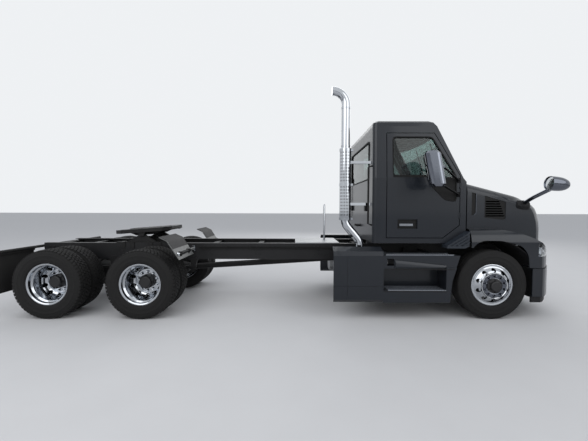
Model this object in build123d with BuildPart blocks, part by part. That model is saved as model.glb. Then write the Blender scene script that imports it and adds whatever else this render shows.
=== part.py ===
from build123d import *
import os
from math import cos, radians, sin, sqrt

# Day-cab 6x4 conventional tractor unit, in millimetres.
# X points forward, Y to the driver's left and Z up; the origin is on the ground under the middle.

# Layout along the truck
WHEELBASE = 5710.0
TANDEM_SPREAD = 1330.0
FRONT_OVERHANG = 1256.0
REAR_OVERHANG = 700.0
BUMPER_TO_CAB_BACK = 2958.0
BUMPER_TO_CAB_FRONT = 1605.0
OVERALL = FRONT_OVERHANG + WHEELBASE + TANDEM_SPREAD / 2 + REAR_OVERHANG
FRONT_X = OVERALL / 2
REAR_X = FRONT_X - OVERALL
STEER_X = FRONT_X - FRONT_OVERHANG
TANDEM_X = STEER_X - WHEELBASE
DRIVE_X = {"front": TANDEM_X + TANDEM_SPREAD / 2, "rear": TANDEM_X - TANDEM_SPREAD / 2}
CAB_BACK_X = FRONT_X - BUMPER_TO_CAB_BACK
CAB_FRONT_X = FRONT_X - BUMPER_TO_CAB_FRONT

# Wheels and tyres
TYRE_RADIUS = 500.0
TYRE_WIDTH = 280.0
DUAL_SPACING = 343.0
STEER_TRACK = 2060.0
DRIVE_TRACK = 1840.0
RIM_WIDTH = 234.0
RIM_FLANGE_RADIUS = 298.0
BEAD_RADIUS = 286.0
DISC_OFFSET = DUAL_SPACING / 2
DISC_THICK = 22.0
HAND_HOLES = 10
HAND_HOLE_RADIUS = 31.0
HAND_HOLE_CIRCLE = 217.0
HUB_RADIUS = 105.0
DRUM_RADIUS = 205.0
DRUM_WALL = 12.0
SPINDLE_RADIUS = 40.0
BEARING_GAP = 0.3
AXLE_Z = TYRE_RADIUS

# Frame
FRAME_WIDTH = 860.0
RAIL_HEIGHT = 265.0
RAIL_FLANGE = 89.0
RAIL_WEB = 9.0
FRAME_TOP = 1015.0
FRAME_HALF = FRAME_WIDTH / 2
FRAME_BOTTOM = FRAME_TOP - RAIL_HEIGHT
WEB_INSIDE = FRAME_HALF - RAIL_WEB
RAIL_CENTRE = FRAME_HALF - RAIL_FLANGE / 2
RAIL_FRONT_X = FRONT_X - 235.0
RAIL_REAR_X = REAR_X + 85.0

# Steering
KINGPIN_HALF = STEER_TRACK / 2 - 174
KINGPIN_RADIUS = 20.0
BOSS_RADIUS = 42.0
BOSS_HALF_HEIGHT = 60.0
STEER_ARM = 180.0

# Cab
CAB_FLOOR_Z = 1090.0
COWL_Z = 1985.0
BELT_Z = 2040.0
CAB_HALF = 1055.0
CAB_WALL = 45.0
DOOR_GAP = 10.0
DOOR_PIN_X = CAB_FRONT_X - 92.0
DOOR_HINGE_HEIGHTS = (1500.0, 1940.0)
HANDLE_X = CAB_BACK_X + 360.0
GLASS_THICK = 5.0
WINDSHIELD_HALF = CAB_HALF - 155
REAR_WINDOW_HALF = CAB_HALF - 295

# Hood, fenders and bumper
PANEL_WALL = 14.0
NOSE_RADIUS = 1560.0
NOSE_SETBACK = 75.0
FENDER_SIDE = 1190.0
SKIRT_Z = 755.0
HINGE_X = FRONT_X - 175.0
HINGE_Z = 830.0
HINGE_PIN = 12.0
GRILLE_BOTTOM = 880.0
GRILLE_TOP = 1470.0
BUMPER_TOP = 743.0
BUMPER_BOTTOM = 343.0
BUMPER_REAR_X = FRONT_X - 707.0
AIR_DAM_BOTTOM = 255.0

# Fifth wheel
FIFTH_X = TANDEM_X + 330.0
FIFTH_TOP = 1250.0
FIFTH_PIVOT_Z = 1150.0
KINGPIN_BORE = 26.0
FIFTH_TILT = 4.5

# Side fairings
FAIRING_SIDE = 1220.0
FAIRING_BOTTOM = 257.0
FAIRING_REAR_X = CAB_BACK_X - 586.0
STEP_REAR_X = CAB_BACK_X + 116.0
STEP_FRONT_X = STEER_X - 620.0
UPPER_STEP_Z = 930.0
LOWER_STEP_Z = 430.0


def side_plane(y):
    """Upright plane at y: local x is forward, local y is up, and its normal points right."""
    return Plane(origin=(0, y, 0), x_dir=(1, 0, 0), z_dir=(0, -1, 0))


def cross_plane(x):
    """Upright plane at x: local x is left, local y is up, and its normal points forward."""
    return Plane(origin=(x, 0, 0), x_dir=(0, 1, 0), z_dir=(1, 0, 0))


def block(x_range, y_range, z_range, mode=Mode.ADD):
    """A box between pairs of limits."""
    ranges = (x_range, y_range, z_range)
    with Locations(tuple((low + high) / 2 for low, high in ranges)):
        Box(*(high - low for low, high in ranges), mode=mode)


def rod(start, end, radius, mode=Mode.ADD):
    """A round bar between two points."""
    path = Vector(*end) - Vector(*start)
    with BuildSketch(Plane(origin=start, z_dir=path)) as section:
        Circle(radius)
    extrude(section.sketch, amount=path.length, mode=mode)


def side_plate(points, y_range, mode=Mode.ADD):
    """A plate with an outline seen from the side, as (x, z) points."""
    with BuildSketch(side_plane(y_range[0])) as outline:
        with BuildLine():
            Polyline(*points, close=True)
        make_face()
    extrude(outline.sketch, amount=y_range[0] - y_range[1], mode=mode)


def cross_plate(points, x_range, mode=Mode.ADD):
    """A plate with an outline seen from the front, as (y, z) points."""
    with BuildSketch(cross_plane(x_range[0])) as outline:
        with BuildLine():
            Polyline(*points, close=True)
        make_face()
    extrude(outline.sketch, amount=x_range[1] - x_range[0], mode=mode)


def quarter_arc(start, corner, end):
    """The quarter circle that rounds a square corner."""
    centre = tuple(s + e - c for s, e, c in zip(start, end, corner))
    middle = tuple(o + (c - o) * sqrt(0.5) for o, c in zip(centre, corner))
    ThreePointArc(start, middle, end)


def mirrored(piece):
    """The same piece on the other side of the truck."""
    with BuildPart() as twin:
        mirror(piece.part, about=Plane.XZ)
    return twin


def finish(piece, label):
    """Name a finished piece and write it."""
    piece.part.label = label
    export_step(piece.part, f"parts/{label}.step")


def finish_pair(piece, label):
    """Write a left-hand piece and its right-hand twin."""
    twin = mirrored(piece)
    finish(piece, f"{label}_left")
    finish(twin, f"{label}_right")


# Frame and its cross members

def frame_rail():
    """A channel rail with its flanges turned inward."""
    with BuildPart() as rail:
        block((RAIL_REAR_X, RAIL_FRONT_X), (WEB_INSIDE, FRAME_HALF), (FRAME_BOTTOM, FRAME_TOP))
        for low in (FRAME_BOTTOM, FRAME_TOP - RAIL_WEB):
            block((RAIL_REAR_X, RAIL_FRONT_X), (FRAME_HALF - RAIL_FLANGE, FRAME_HALF), (low, low + RAIL_WEB))
    return rail


def crossmembers():
    """Pressed channels between the rails, and the brackets that carry the hood's hinge."""
    member_half_x = 45.0
    member_z = (FRAME_BOTTOM + 70, FRAME_TOP - 35)
    wall = 8.0
    places = [RAIL_REAR_X + 60, DRIVE_X["rear"], TANDEM_X, DRIVE_X["front"], DRIVE_X["front"] + 800,
              DRIVE_X["front"] + 1600, CAB_BACK_X - 780, CAB_BACK_X - 60, RAIL_FRONT_X - 80]
    with BuildPart() as members:
        for x in places:
            x_range = (x - member_half_x, x + member_half_x)
            block(x_range, (-WEB_INSIDE, WEB_INSIDE), member_z)
            inner_z = (member_z[0] + wall, member_z[1] - wall)
            block((x - member_half_x + wall, x + member_half_x), (-WEB_INSIDE + wall, WEB_INSIDE - wall),
                  inner_z, Mode.SUBTRACT)
        hinge_outline = [
            (RAIL_FRONT_X - 60, HINGE_Z - 30), (HINGE_X, HINGE_Z - 26), (HINGE_X + 22, HINGE_Z - 8),
            (HINGE_X + 22, HINGE_Z + 12), (RAIL_FRONT_X, FRAME_TOP - 30), (RAIL_FRONT_X - 60, FRAME_TOP - 30),
        ]
        for side in (1, -1):
            plate = sorted((side * 355, side * 375))
            side_plate(hinge_outline, plate)
            rod((HINGE_X, side * 310, HINGE_Z), (HINGE_X, side * 375, HINGE_Z), HINGE_PIN)
    return members


# Wheels, hubs and tyres

def wheel_plane(x, y, side):
    """Half-section plane of a wheel: local x runs outboard along the axle, local y is the radius."""
    return Plane(origin=(x, y, AXLE_Z), x_dir=(0, side, 0), z_dir=(side, 0, 0))


def spin(x):
    """The axle line at x."""
    return Axis((x, 0, AXLE_Z), (0, 1, 0))


def ring(x, y, side, outline):
    """Turn an outline of (along, radius) points about the axle."""
    with BuildSketch(wheel_plane(x, y, side)) as section:
        with BuildLine():
            Polyline(*outline, close=True)
        make_face()
    revolve(section.sketch, axis=spin(x))


def rim_outline():
    """Half-section of a forged disc wheel, its disc toward positive."""
    edge = RIM_WIDTH / 2
    face = DISC_OFFSET
    return [
        (-edge, RIM_FLANGE_RADIUS), (-edge + 12, RIM_FLANGE_RADIUS), (-edge + 12, BEAD_RADIUS),
        (-62, BEAD_RADIUS - 2), (-40, 264), (40, 264), (62, BEAD_RADIUS - 2), (edge - 12, BEAD_RADIUS),
        (edge - 12, RIM_FLANGE_RADIUS), (edge, RIM_FLANGE_RADIUS), (edge + 2, 290), (edge - 2, 270),
        (edge + 6, 250), (face - 16, 212), (face, 184), (face, HUB_RADIUS - 5),
        (face - DISC_THICK, HUB_RADIUS - 5), (face - DISC_THICK, 180), (face - 42, 208), (94, 236),
        (60, 250), (-46, 250), (-66, 270), (-edge + 8, 274), (-edge, 288),
    ]


def add_rim(x, y, side):
    """A disc wheel with its hand holes; side says which way its disc faces."""
    ring(x, y, side, rim_outline())
    with BuildSketch(Plane(origin=(x, y, AXLE_Z), x_dir=(1, 0, 0), z_dir=(0, side, 0))) as holes:
        with PolarLocations(HAND_HOLE_CIRCLE, HAND_HOLES, start_angle=180 / HAND_HOLES):
            Circle(HAND_HOLE_RADIUS)
    extrude(holes.sketch, amount=DISC_OFFSET + DISC_THICK, mode=Mode.SUBTRACT)


def tyre_outline():
    """The arcs and lines of a tyre's hollow section are drawn straight into the active line."""
    half = TYRE_WIDTH / 2
    bead = RIM_WIDTH / 2 - 12
    crown = TYRE_RADIUS
    for side in (1, -1):
        Line((side * bead, BEAD_RADIUS), (side * bead, RIM_FLANGE_RADIUS + 1))
        Line((side * bead, RIM_FLANGE_RADIUS + 1), (side * (bead + 13), RIM_FLANGE_RADIUS + 4))
        ThreePointArc((side * (bead + 13), RIM_FLANGE_RADIUS + 4), (side * half, crown - 116),
                      (side * (half - 12), crown - 24))
        Line((side * (half - 12), crown - 24), (side * (half - 28), crown - 5))
        Line((side * bead, BEAD_RADIUS), (side * (bead - 12), BEAD_RADIUS + 2))
        ThreePointArc((side * (bead - 12), BEAD_RADIUS + 2), (side * (half - 18), crown - 116),
                      (side * (half - 36), crown - 36))
    ThreePointArc((half - 28, crown - 5), (0, crown), (-half + 28, crown - 5))
    Line((half - 36, crown - 36), (-half + 36, crown - 36))


def add_tyre(x, y):
    """A tubeless truck tyre, hollow and open at its beads."""
    with BuildSketch(wheel_plane(x, y, 1)) as section:
        with BuildLine():
            tyre_outline()
        make_face()
    revolve(section.sketch, axis=spin(x))


def steer_wheel():
    """The steer wheel with its hub, oil cap and brake drum."""
    y = STEER_TRACK / 2
    face = DISC_OFFSET
    bore_end = 110.0
    with BuildPart() as wheel:
        add_rim(STEER_X, y, 1)
        ring(STEER_X, y, 1, [
            (-40, SPINDLE_RADIUS + BEARING_GAP), (-40, 85), (face - 50, 85), (face - 50, DRUM_RADIUS - 20),
            (-80, DRUM_RADIUS - DRUM_WALL), (-80, DRUM_RADIUS), (face - 40, DRUM_RADIUS),
            (face - DISC_THICK, DRUM_RADIUS - 25), (face - DISC_THICK, HUB_RADIUS), (face + 14, HUB_RADIUS),
            (face + 20, 74), (face + 46, 70), (face + 52, 60), (face + 52, 0), (bore_end, 0),
            (bore_end, SPINDLE_RADIUS + BEARING_GAP),
        ])
    return wheel


def dual_wheel(x):
    """Two disc wheels back to back on one hub, with the brake drum inside the inner one."""
    y = DRIVE_TRACK / 2
    with BuildPart() as wheel:
        add_rim(x, y - DUAL_SPACING / 2, 1)
        add_rim(x, y + DUAL_SPACING / 2, -1)
        ring(x, y, 1, [
            (-140, SPINDLE_RADIUS + BEARING_GAP), (-140, 90), (-60, 90), (-60, DRUM_RADIUS - 20),
            (-210, DRUM_RADIUS - DRUM_WALL), (-210, DRUM_RADIUS), (-50, DRUM_RADIUS),
            (-DISC_THICK, DRUM_RADIUS - 25), (-DISC_THICK, HUB_RADIUS), (DISC_THICK + 60, HUB_RADIUS),
            (DISC_THICK + 70, 88), (DISC_THICK + 110, 84), (DISC_THICK + 118, 70), (DISC_THICK + 118, 0),
            (0, 0), (0, SPINDLE_RADIUS + BEARING_GAP),
        ])
    return wheel


def steer_tyre():
    with BuildPart() as tyre:
        add_tyre(STEER_X, STEER_TRACK / 2)
    return tyre


def dual_tyres(x):
    with BuildPart() as tyres:
        for offset in (-DUAL_SPACING / 2, DUAL_SPACING / 2):
            add_tyre(x, DRIVE_TRACK / 2 + offset)
    return tyres


# Steer axle

def beam_outline(inset):
    """The dropped beam seen from the front."""
    drop_z = AXLE_Z - 80
    half_depth = 40 - inset
    right_to_left = []
    for sign, level in ((1, half_depth), (-1, -half_depth)):
        run = [(-KINGPIN_HALF + 30, AXLE_Z), (-620, AXLE_Z - 10), (-500, drop_z), (500, drop_z),
               (620, AXLE_Z - 10), (KINGPIN_HALF - 30, AXLE_Z)]
        points = [(y, z + level) for y, z in run]
        right_to_left += points if sign == 1 else points[::-1]
    return right_to_left


def front_axle():
    """Forged beam of I section with a boss for each king pin."""
    half_width = 48.0
    with BuildPart() as beam:
        cross_plate(beam_outline(0), (STEER_X - half_width, STEER_X + half_width))
        for x_range in ((STEER_X - half_width, STEER_X - 14), (STEER_X + 14, STEER_X + half_width)):
            pocket = [(y * 0.93, z) for y, z in beam_outline(14)]
            cross_plate(pocket, x_range, Mode.SUBTRACT)
        for side in (1, -1):
            low = (STEER_X, side * KINGPIN_HALF, AXLE_Z - BOSS_HALF_HEIGHT)
            high = (STEER_X, side * KINGPIN_HALF, AXLE_Z + BOSS_HALF_HEIGHT)
            rod(low, high, BOSS_RADIUS)
            rod(low, high, KINGPIN_RADIUS + BEARING_GAP, Mode.SUBTRACT)
    return beam


def knuckle():
    """Fork round the king pin boss, with the spindle and the arm that the tie rod joins."""
    ear = BOSS_HALF_HEIGHT + BEARING_GAP
    ear_top = ear + 48
    fork_y = KINGPIN_HALF + BOSS_RADIUS + 12
    arm_x = STEER_X - STEER_ARM
    with BuildPart() as fork:
        for low, high in ((ear, ear_top), (-ear_top, -ear)):
            block((STEER_X - 50, STEER_X + 50), (KINGPIN_HALF, fork_y), (AXLE_Z + low, AXLE_Z + high))
            rod((STEER_X, KINGPIN_HALF, AXLE_Z + low), (STEER_X, KINGPIN_HALF, AXLE_Z + high), 50)
        block((STEER_X - 55, STEER_X + 55), (fork_y, fork_y + 26), (AXLE_Z - ear_top, AXLE_Z + ear_top))
        rod((STEER_X, KINGPIN_HALF, AXLE_Z - ear), (STEER_X, KINGPIN_HALF, AXLE_Z + ear), KINGPIN_RADIUS)
        spindle_end = STEER_TRACK / 2 + 100
        rod((STEER_X, fork_y + 20, AXLE_Z), (STEER_X, spindle_end, AXLE_Z), SPINDLE_RADIUS)
        block((arm_x, STEER_X - 30), (KINGPIN_HALF - 30, KINGPIN_HALF + 30),
              (AXLE_Z - ear_top, AXLE_Z - ear_top + 32))
        rod((arm_x, KINGPIN_HALF, AXLE_Z - ear_top), (arm_x, KINGPIN_HALF, AXLE_Z - ear_top + 32), 30)
        rod((arm_x, KINGPIN_HALF, AXLE_Z - ear_top), (arm_x, KINGPIN_HALF, AXLE_Z - ear_top + 32),
            10 + BEARING_GAP, Mode.SUBTRACT)
    return fork


def tie_rod():
    """Tube behind the axle with a ball end under each steering arm."""
    arm_x = STEER_X - STEER_ARM
    arm_low = AXLE_Z - BOSS_HALF_HEIGHT - BEARING_GAP - 48
    tube_z = arm_low - 26
    with BuildPart() as link:
        rod((arm_x, -KINGPIN_HALF, tube_z), (arm_x, KINGPIN_HALF, tube_z), 20)
        for side in (1, -1):
            y = side * KINGPIN_HALF
            rod((arm_x, y, tube_z - 22), (arm_x, y, arm_low - BEARING_GAP), 27)
            rod((arm_x, y, tube_z), (arm_x, y, arm_low + 40), 10)
    return link


def front_springs():
    """Two tapered leaves a side, with rolled eyes and the hangers under the rails."""
    half_span = 650.0
    eye_z = AXLE_Z + 160
    seat_z = AXLE_Z - 40
    leaf = 26.0
    width = 80.0
    with BuildPart() as springs:
        for side in (1, -1):
            y_range = sorted((side * (RAIL_CENTRE - width / 2), side * (RAIL_CENTRE + width / 2)))
            with BuildSketch(side_plane(y_range[0])):
                with BuildLine():
                    rear = (STEER_X - half_span, eye_z)
                    front = (STEER_X + half_span, eye_z)
                    ThreePointArc(rear, (STEER_X, seat_z), front)
                    Line(front, (front[0], front[1] + leaf))
                    ThreePointArc((front[0], front[1] + leaf), (STEER_X, seat_z + 2 * leaf),
                                  (rear[0], rear[1] + leaf))
                    Line((rear[0], rear[1] + leaf), rear)
                make_face()
            extrude(amount=y_range[0] - y_range[1])
            for x in (STEER_X - half_span, STEER_X + half_span):
                rod((x, y_range[0], eye_z), (x, y_range[1], eye_z), 34)
                side_plate([(x - 60, FRAME_BOTTOM), (x - 24, eye_z), (x + 24, eye_z), (x + 60, FRAME_BOTTOM)],
                           y_range)
    return springs


# Drive axles and their suspension

def drive_axle(place):
    """Drive axle with its gear housing; the rear one takes the shaft from the front one."""
    tube = 66.0
    wheel_y = DRIVE_TRACK / 2
    x = DRIVE_X[place]
    with BuildPart() as axle:
        rod((x, -wheel_y + 150, AXLE_Z), (x, wheel_y - 150, AXLE_Z), tube)
        rod((x, -wheel_y + 10, AXLE_Z), (x, wheel_y - 10, AXLE_Z), SPINDLE_RADIUS)
        rod((x - 120, 0, AXLE_Z), (x + 120, 0, AXLE_Z), 195)
        with BuildSketch(cross_plane(x + 120)):
            with Locations((0, AXLE_Z)):
                Circle(170)
        with BuildSketch(cross_plane(x + 330)):
            with Locations((0, AXLE_Z + 50)):
                Circle(75)
        loft()
        if place == "rear":
            rod((x + 325, 0, AXLE_Z + 50), (DRIVE_X["front"] - 121, 0, AXLE_Z + 50), 45)
    return axle


def rear_suspension():
    """A trailing spring arm, its hanger and an air bag at each end of both drive axles."""
    arm_width = 70.0
    arm_y = RAIL_CENTRE + 5
    bag_radius = 120.0
    seat = AXLE_Z + 66
    with BuildPart() as suspension:
        for x in DRIVE_X.values():
            for side in (1, -1):
                y_range = sorted((side * (arm_y - arm_width / 2), side * (arm_y + arm_width / 2)))
                side_plate([
                    (x + 560, seat + 75), (x + 480, seat + 75), (x + 70, seat + 38), (x - 70, seat + 38),
                    (x - 280, AXLE_Z + 20), (x - 530, AXLE_Z + 20), (x - 530, AXLE_Z - 16),
                    (x - 290, AXLE_Z - 16), (x - 85, seat), (x + 70, seat), (x + 500, seat + 38),
                    (x + 560, seat + 38),
                ], y_range)
                side_plate([(x + 470, FRAME_BOTTOM), (x + 490, seat + 50), (x + 550, seat + 50),
                            (x + 590, FRAME_BOTTOM)], y_range)
                bag_x = x - 405
                rod((bag_x, side * arm_y, AXLE_Z + 20), (bag_x, side * arm_y, AXLE_Z + 90), 80)
                rod((bag_x, side * arm_y, AXLE_Z + 80), (bag_x, side * arm_y, FRAME_BOTTOM - 12), bag_radius)
                rod((bag_x, side * arm_y, FRAME_BOTTOM - 12), (bag_x, side * arm_y, FRAME_BOTTOM), 95)
    return suspension


# Powertrain and cooling

def powertrain():
    """Engine as one plain block, with the gearbox and the long drive shaft."""
    engine_x = (CAB_FRONT_X + 170, FRONT_X - 640)
    shaft_z = 780.0
    gearbox_front = engine_x[0]
    with BuildPart() as drive:
        block(engine_x, (-330, 330), (580, 1520))
        for side in (1, -1):
            y_range = sorted((side * 330, side * WEB_INSIDE))
            block((engine_x[0] + 240, engine_x[0] + 360), y_range, (FRAME_BOTTOM + 70, FRAME_TOP - 75))
        rod((gearbox_front - 420, 0, 800), (gearbox_front, 0, 800), 200)
        rod((gearbox_front - 980, 0, 800), (gearbox_front - 420, 0, 800), 160)
        rod((DRIVE_X["front"] + 334, 0, AXLE_Z + 50), (gearbox_front - 975, 0, shaft_z), 50)
    return drive


def radiator():
    """Core and tanks standing on the rails behind the grille."""
    x_range = (FRONT_X - 545, FRONT_X - 465)
    with BuildPart() as core:
        block(x_range, (-460, 460), (FRAME_TOP, 1600))
        block(x_range, (-FRAME_HALF + RAIL_FLANGE + 6, FRAME_HALF - RAIL_FLANGE - 6), (690, FRAME_TOP))
    return core


# Fifth wheel

def fifth_wheel_base():
    """Base plate on the rails with a pedestal under each side of the top plate."""
    base_top = FRAME_TOP + 16
    with BuildPart() as base:
        block((FIFTH_X - 380, FIFTH_X + 380), (-FRAME_HALF, FRAME_HALF), (FRAME_TOP, base_top))
        for side in (1, -1):
            y_range = sorted((side * 360, side * 400))
            side_plate([(FIFTH_X - 240, base_top), (FIFTH_X - 45, FIFTH_PIVOT_Z), (FIFTH_X + 45, FIFTH_PIVOT_Z),
                        (FIFTH_X + 240, base_top)], y_range)
            rod((FIFTH_X, y_range[0], FIFTH_PIVOT_Z), (FIFTH_X, y_range[1], FIFTH_PIVOT_Z), 45)
            rod((FIFTH_X, y_range[0], FIFTH_PIVOT_Z), (FIFTH_X, y_range[1], FIFTH_PIVOT_Z),
                18 + BEARING_GAP, Mode.SUBTRACT)
    return base


def fifth_plate_outline():
    """The top plate from above, with the throat that leads to the jaws."""
    half = [(450, 0), (450, 250), (350, 440), (300, 455), (-260, 455), (-330, 440), (-480, 300),
            (-480, 165), (-95, 40), (-75, 0)]
    return half, [(x, -y) for x, y in half[-2:0:-1]]


def fifth_wheel_plate():
    """Ribbed top plate with closed jaws round the kingpin bore, on trunnion pins."""
    near, far = fifth_plate_outline()
    skirt = 60.0
    skin = 16.0
    with BuildPart() as plate:
        with BuildSketch(Plane((FIFTH_X, 0, FIFTH_TOP))) as top:
            with BuildLine():
                Polyline(*near, *far, close=True)
            make_face()
        extrude(amount=-skirt)
        with BuildSketch(Plane((FIFTH_X, 0, FIFTH_TOP - skin))):
            add(offset(top.sketch_local, amount=-14, mode=Mode.PRIVATE))
        extrude(amount=-(skirt - skin), mode=Mode.SUBTRACT)
        rod((FIFTH_X, 0, FIFTH_TOP - skirt), (FIFTH_X, 0, FIFTH_TOP), 72)
        rod((FIFTH_X, 0, FIFTH_TOP - skirt), (FIFTH_X, 0, FIFTH_TOP), KINGPIN_BORE, Mode.SUBTRACT)
        for side in (1, -1):
            for near_y, far_y in ((330, 354), (406, 430)):
                y_range = sorted((side * near_y, side * far_y))
                side_plate([(FIFTH_X - 90, FIFTH_TOP - skin), (FIFTH_X - 36, FIFTH_PIVOT_Z - 20),
                            (FIFTH_X + 36, FIFTH_PIVOT_Z - 20), (FIFTH_X + 90, FIFTH_TOP - skin)], y_range)
            rod((FIFTH_X, side * 330, FIFTH_PIVOT_Z), (FIFTH_X, side * 430, FIFTH_PIVOT_Z), 18)
            side_plate([(FIFTH_X - 250, FIFTH_TOP - skin), (FIFTH_X - 200, FIFTH_TOP - skirt),
                        (FIFTH_X + 300, FIFTH_TOP - skirt), (FIFTH_X + 340, FIFTH_TOP - skin)],
                       sorted((side * 190, side * 204)))
        for x in (FIFTH_X + 120, FIFTH_X + 270):
            block((x, x + 14), (-420, 420), (FIFTH_TOP - skirt + 6, FIFTH_TOP - skin))
        rod((FIFTH_X + 120, -300, FIFTH_TOP - 40), (FIFTH_X + 600, -300, FIFTH_TOP - 40), 9)
        block((FIFTH_X + 590, FIFTH_X + 606), (-332, -268), (FIFTH_TOP - 52, FIFTH_TOP - 28))
    with BuildPart() as tilted:
        add(plate.part.rotate(Axis((FIFTH_X, 0, FIFTH_PIVOT_Z), (0, 1, 0)), -FIFTH_TILT))
    return tilted


# Fittings along the frame

def deck_plate():
    """Tread plate over the rails behind the cab."""
    with BuildPart() as deck:
        block((CAB_BACK_X - 1130, CAB_BACK_X - 400), (-FRAME_HALF, FRAME_HALF), (FRAME_TOP, FRAME_TOP + 14))
    return deck


def quarter_fender():
    """Flat half fender ahead of the front drive tyres, on an arm from the rail."""
    low = (DRIVE_X["front"] + 566, 856.0)
    high = (DRIVE_X["front"] + 396, 1122.0)
    sheet = 9.0
    arm_z = 930.0
    with BuildPart() as fender:
        side_plate([low, (low[0] + sheet, low[1] + 4), (high[0] + 26, high[1] - 24), (high[0] + 6, high[1] + 8),
                    (high[0] - 110, high[1] + 60), (high[0] - 112, high[1] + 50), (high[0] - 4, high[1])],
                   (570, FAIRING_SIDE))
        rod((low[0] - 30, FRAME_HALF, arm_z), (low[0] - 30, 640, arm_z), 24)
        rod((low[0] - 30, 600, arm_z), (low[0] - 30, FAIRING_SIDE - 60, arm_z), 20)
    return fender


def mudflaps():
    """Hanger tube across the tail with a flap behind each pair of dual tyres."""
    flap_z = (360.0, 960.0)
    tube = 22.0
    flap = 14.0
    with BuildPart() as flaps:
        rod((REAR_X + 40, -FENDER_SIDE, flap_z[1]), (REAR_X + 40, FENDER_SIDE, flap_z[1]), tube)
        for side in (1, -1):
            y_range = sorted((side * 560, side * (FENDER_SIDE + 30)))
            block((REAR_X, REAR_X + flap), y_range, flap_z)
            block((REAR_X + flap, REAR_X + 34), y_range, (flap_z[1] - 50, flap_z[1]))
            y_range = sorted((side * (WEB_INSIDE - 40), side * FRAME_HALF))
            block((REAR_X + 40, RAIL_REAR_X), y_range, (flap_z[1] - 16, flap_z[1] + 16))
    return flaps


def rear_light_bar():
    """Bar under the rail ends that carries the stop and turn lamps."""
    with BuildPart() as bar:
        block((RAIL_REAR_X + 8, RAIL_REAR_X + 78), (-FRAME_HALF, FRAME_HALF), (FRAME_BOTTOM - 130, FRAME_BOTTOM))
        for y in (-320, -200, 200, 320):
            rod((RAIL_REAR_X - 6, y, FRAME_BOTTOM - 66), (RAIL_REAR_X + 10, y, FRAME_BOTTOM - 66), 48)
    return bar


# Panels of the step section, seen from behind: inner y, outer y, low z, high z
STEP_WALL_Y = FAIRING_SIDE - 296
STEP_PANELS = (
    (FAIRING_SIDE - 16, FAIRING_SIDE, FAIRING_BOTTOM, LOWER_STEP_Z - 12),
    (STEP_WALL_Y + 16, FAIRING_SIDE, LOWER_STEP_Z - 28, LOWER_STEP_Z),
    (STEP_WALL_Y, STEP_WALL_Y + 16, LOWER_STEP_Z - 28, 759),
    (STEP_WALL_Y + 16, FAIRING_SIDE - 14, 743, 759),
    (FAIRING_SIDE - 30, FAIRING_SIDE - 14, 743, UPPER_STEP_Z),
    (STEP_WALL_Y - 24, FAIRING_SIDE - 14, UPPER_STEP_Z - 28, UPPER_STEP_Z),
)


def fairing():
    """Side fairing: curved skin behind, then a box with the two steps, on arms from the rail."""
    step_front = STEER_X - 470
    seam = 6.0
    skin = [(1180, FAIRING_BOTTOM), (FAIRING_SIDE, FAIRING_BOTTOM + 40), (FAIRING_SIDE, 925), (1190, 985),
            (1070, 1040)]
    skin_inside = [(y - 16, z - 4) for y, z in reversed(skin)]
    with BuildPart() as panel:
        cross_plate(skin + skin_inside, (FAIRING_REAR_X, STEP_REAR_X))
        block((FAIRING_REAR_X + 195, FAIRING_REAR_X + 195 + seam), (FAIRING_SIDE - 5, FAIRING_SIDE + 1), (0, 2000),
              Mode.SUBTRACT)
        block((FAIRING_REAR_X - 1, STEP_REAR_X + 1), (FAIRING_SIDE - 5, FAIRING_SIDE + 1), (487, 487 + seam),
              Mode.SUBTRACT)
        for y_low, y_high, z_low, z_high in STEP_PANELS:
            block((STEP_REAR_X, step_front), (y_low, y_high), (z_low, z_high))
        for x in (STEP_REAR_X, STEER_X - 690):
            block((x, x + 16), (STEP_WALL_Y, FAIRING_SIDE - 20), (LOWER_STEP_Z - 28, 759))
        block((STEP_REAR_X, STEP_REAR_X + 16), (STEP_WALL_Y, FAIRING_SIDE - 16), (743, 985))
        for x in (STEP_REAR_X + 100, STEER_X - 800):
            block((x, x + 60), (FRAME_HALF, 900), (UPPER_STEP_Z - 28, UPPER_STEP_Z))
        block((FAIRING_REAR_X + 60, FAIRING_REAR_X + 110), (FRAME_HALF, FAIRING_SIDE - 10), (925, 955))
        block((STEER_X - 690, step_front), (FAIRING_SIDE - 16, FAIRING_SIDE), (LOWER_STEP_Z - 12, 759))
        block((STEP_REAR_X + 58, STEP_REAR_X + 156), (FAIRING_SIDE - 40, FAIRING_SIDE), (784, 883), Mode.SUBTRACT)
        side_plate([(STEER_X - 490, 1100), (STEER_X - 492, 926), (STEER_X - 604, 560), (STEER_X - 632, 266),
                    (STEER_X - 632, 200), (STEER_X - 400, 200), (STEER_X - 400, 1100)],
                   (FRAME_HALF + 100, FAIRING_SIDE + 1), Mode.SUBTRACT)
    return panel


def fuel_tank():
    """Rounded tank behind the left-hand steps, with its hangers to the rail."""
    x_range = (CAB_BACK_X - 460, STEP_FRONT_X - 90)
    with BuildPart() as tank:
        with BuildSketch(cross_plane(x_range[0])):
            with Locations((700, 640)):
                RectangleRounded(440, 500, 110)
        extrude(amount=x_range[1] - x_range[0])
        for x in (x_range[0] + 200, x_range[1] - 260):
            block((x, x + 60), (FRAME_HALF, 520), (FRAME_BOTTOM + 20, FRAME_TOP - 40))
    return tank


def service_boxes():
    """Exhaust treatment case and battery box behind the right-hand steps."""
    with BuildPart() as boxes:
        with BuildSketch(side_plane(-1000)):
            with Locations((CAB_BACK_X - 110, 640)):
                RectangleRounded(420, 500, 60)
        extrude(amount=-500)
        with BuildSketch(side_plane(-900)):
            with Locations((STEP_FRONT_X - 420, 670)):
                RectangleRounded(560, 400, 20)
        extrude(amount=-400)
        for x in (CAB_BACK_X - 140, STEP_FRONT_X - 450):
            block((x, x + 60), (-500, -FRAME_HALF), (FRAME_BOTTOM + 20, FRAME_TOP - 60))
    return boxes


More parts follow.
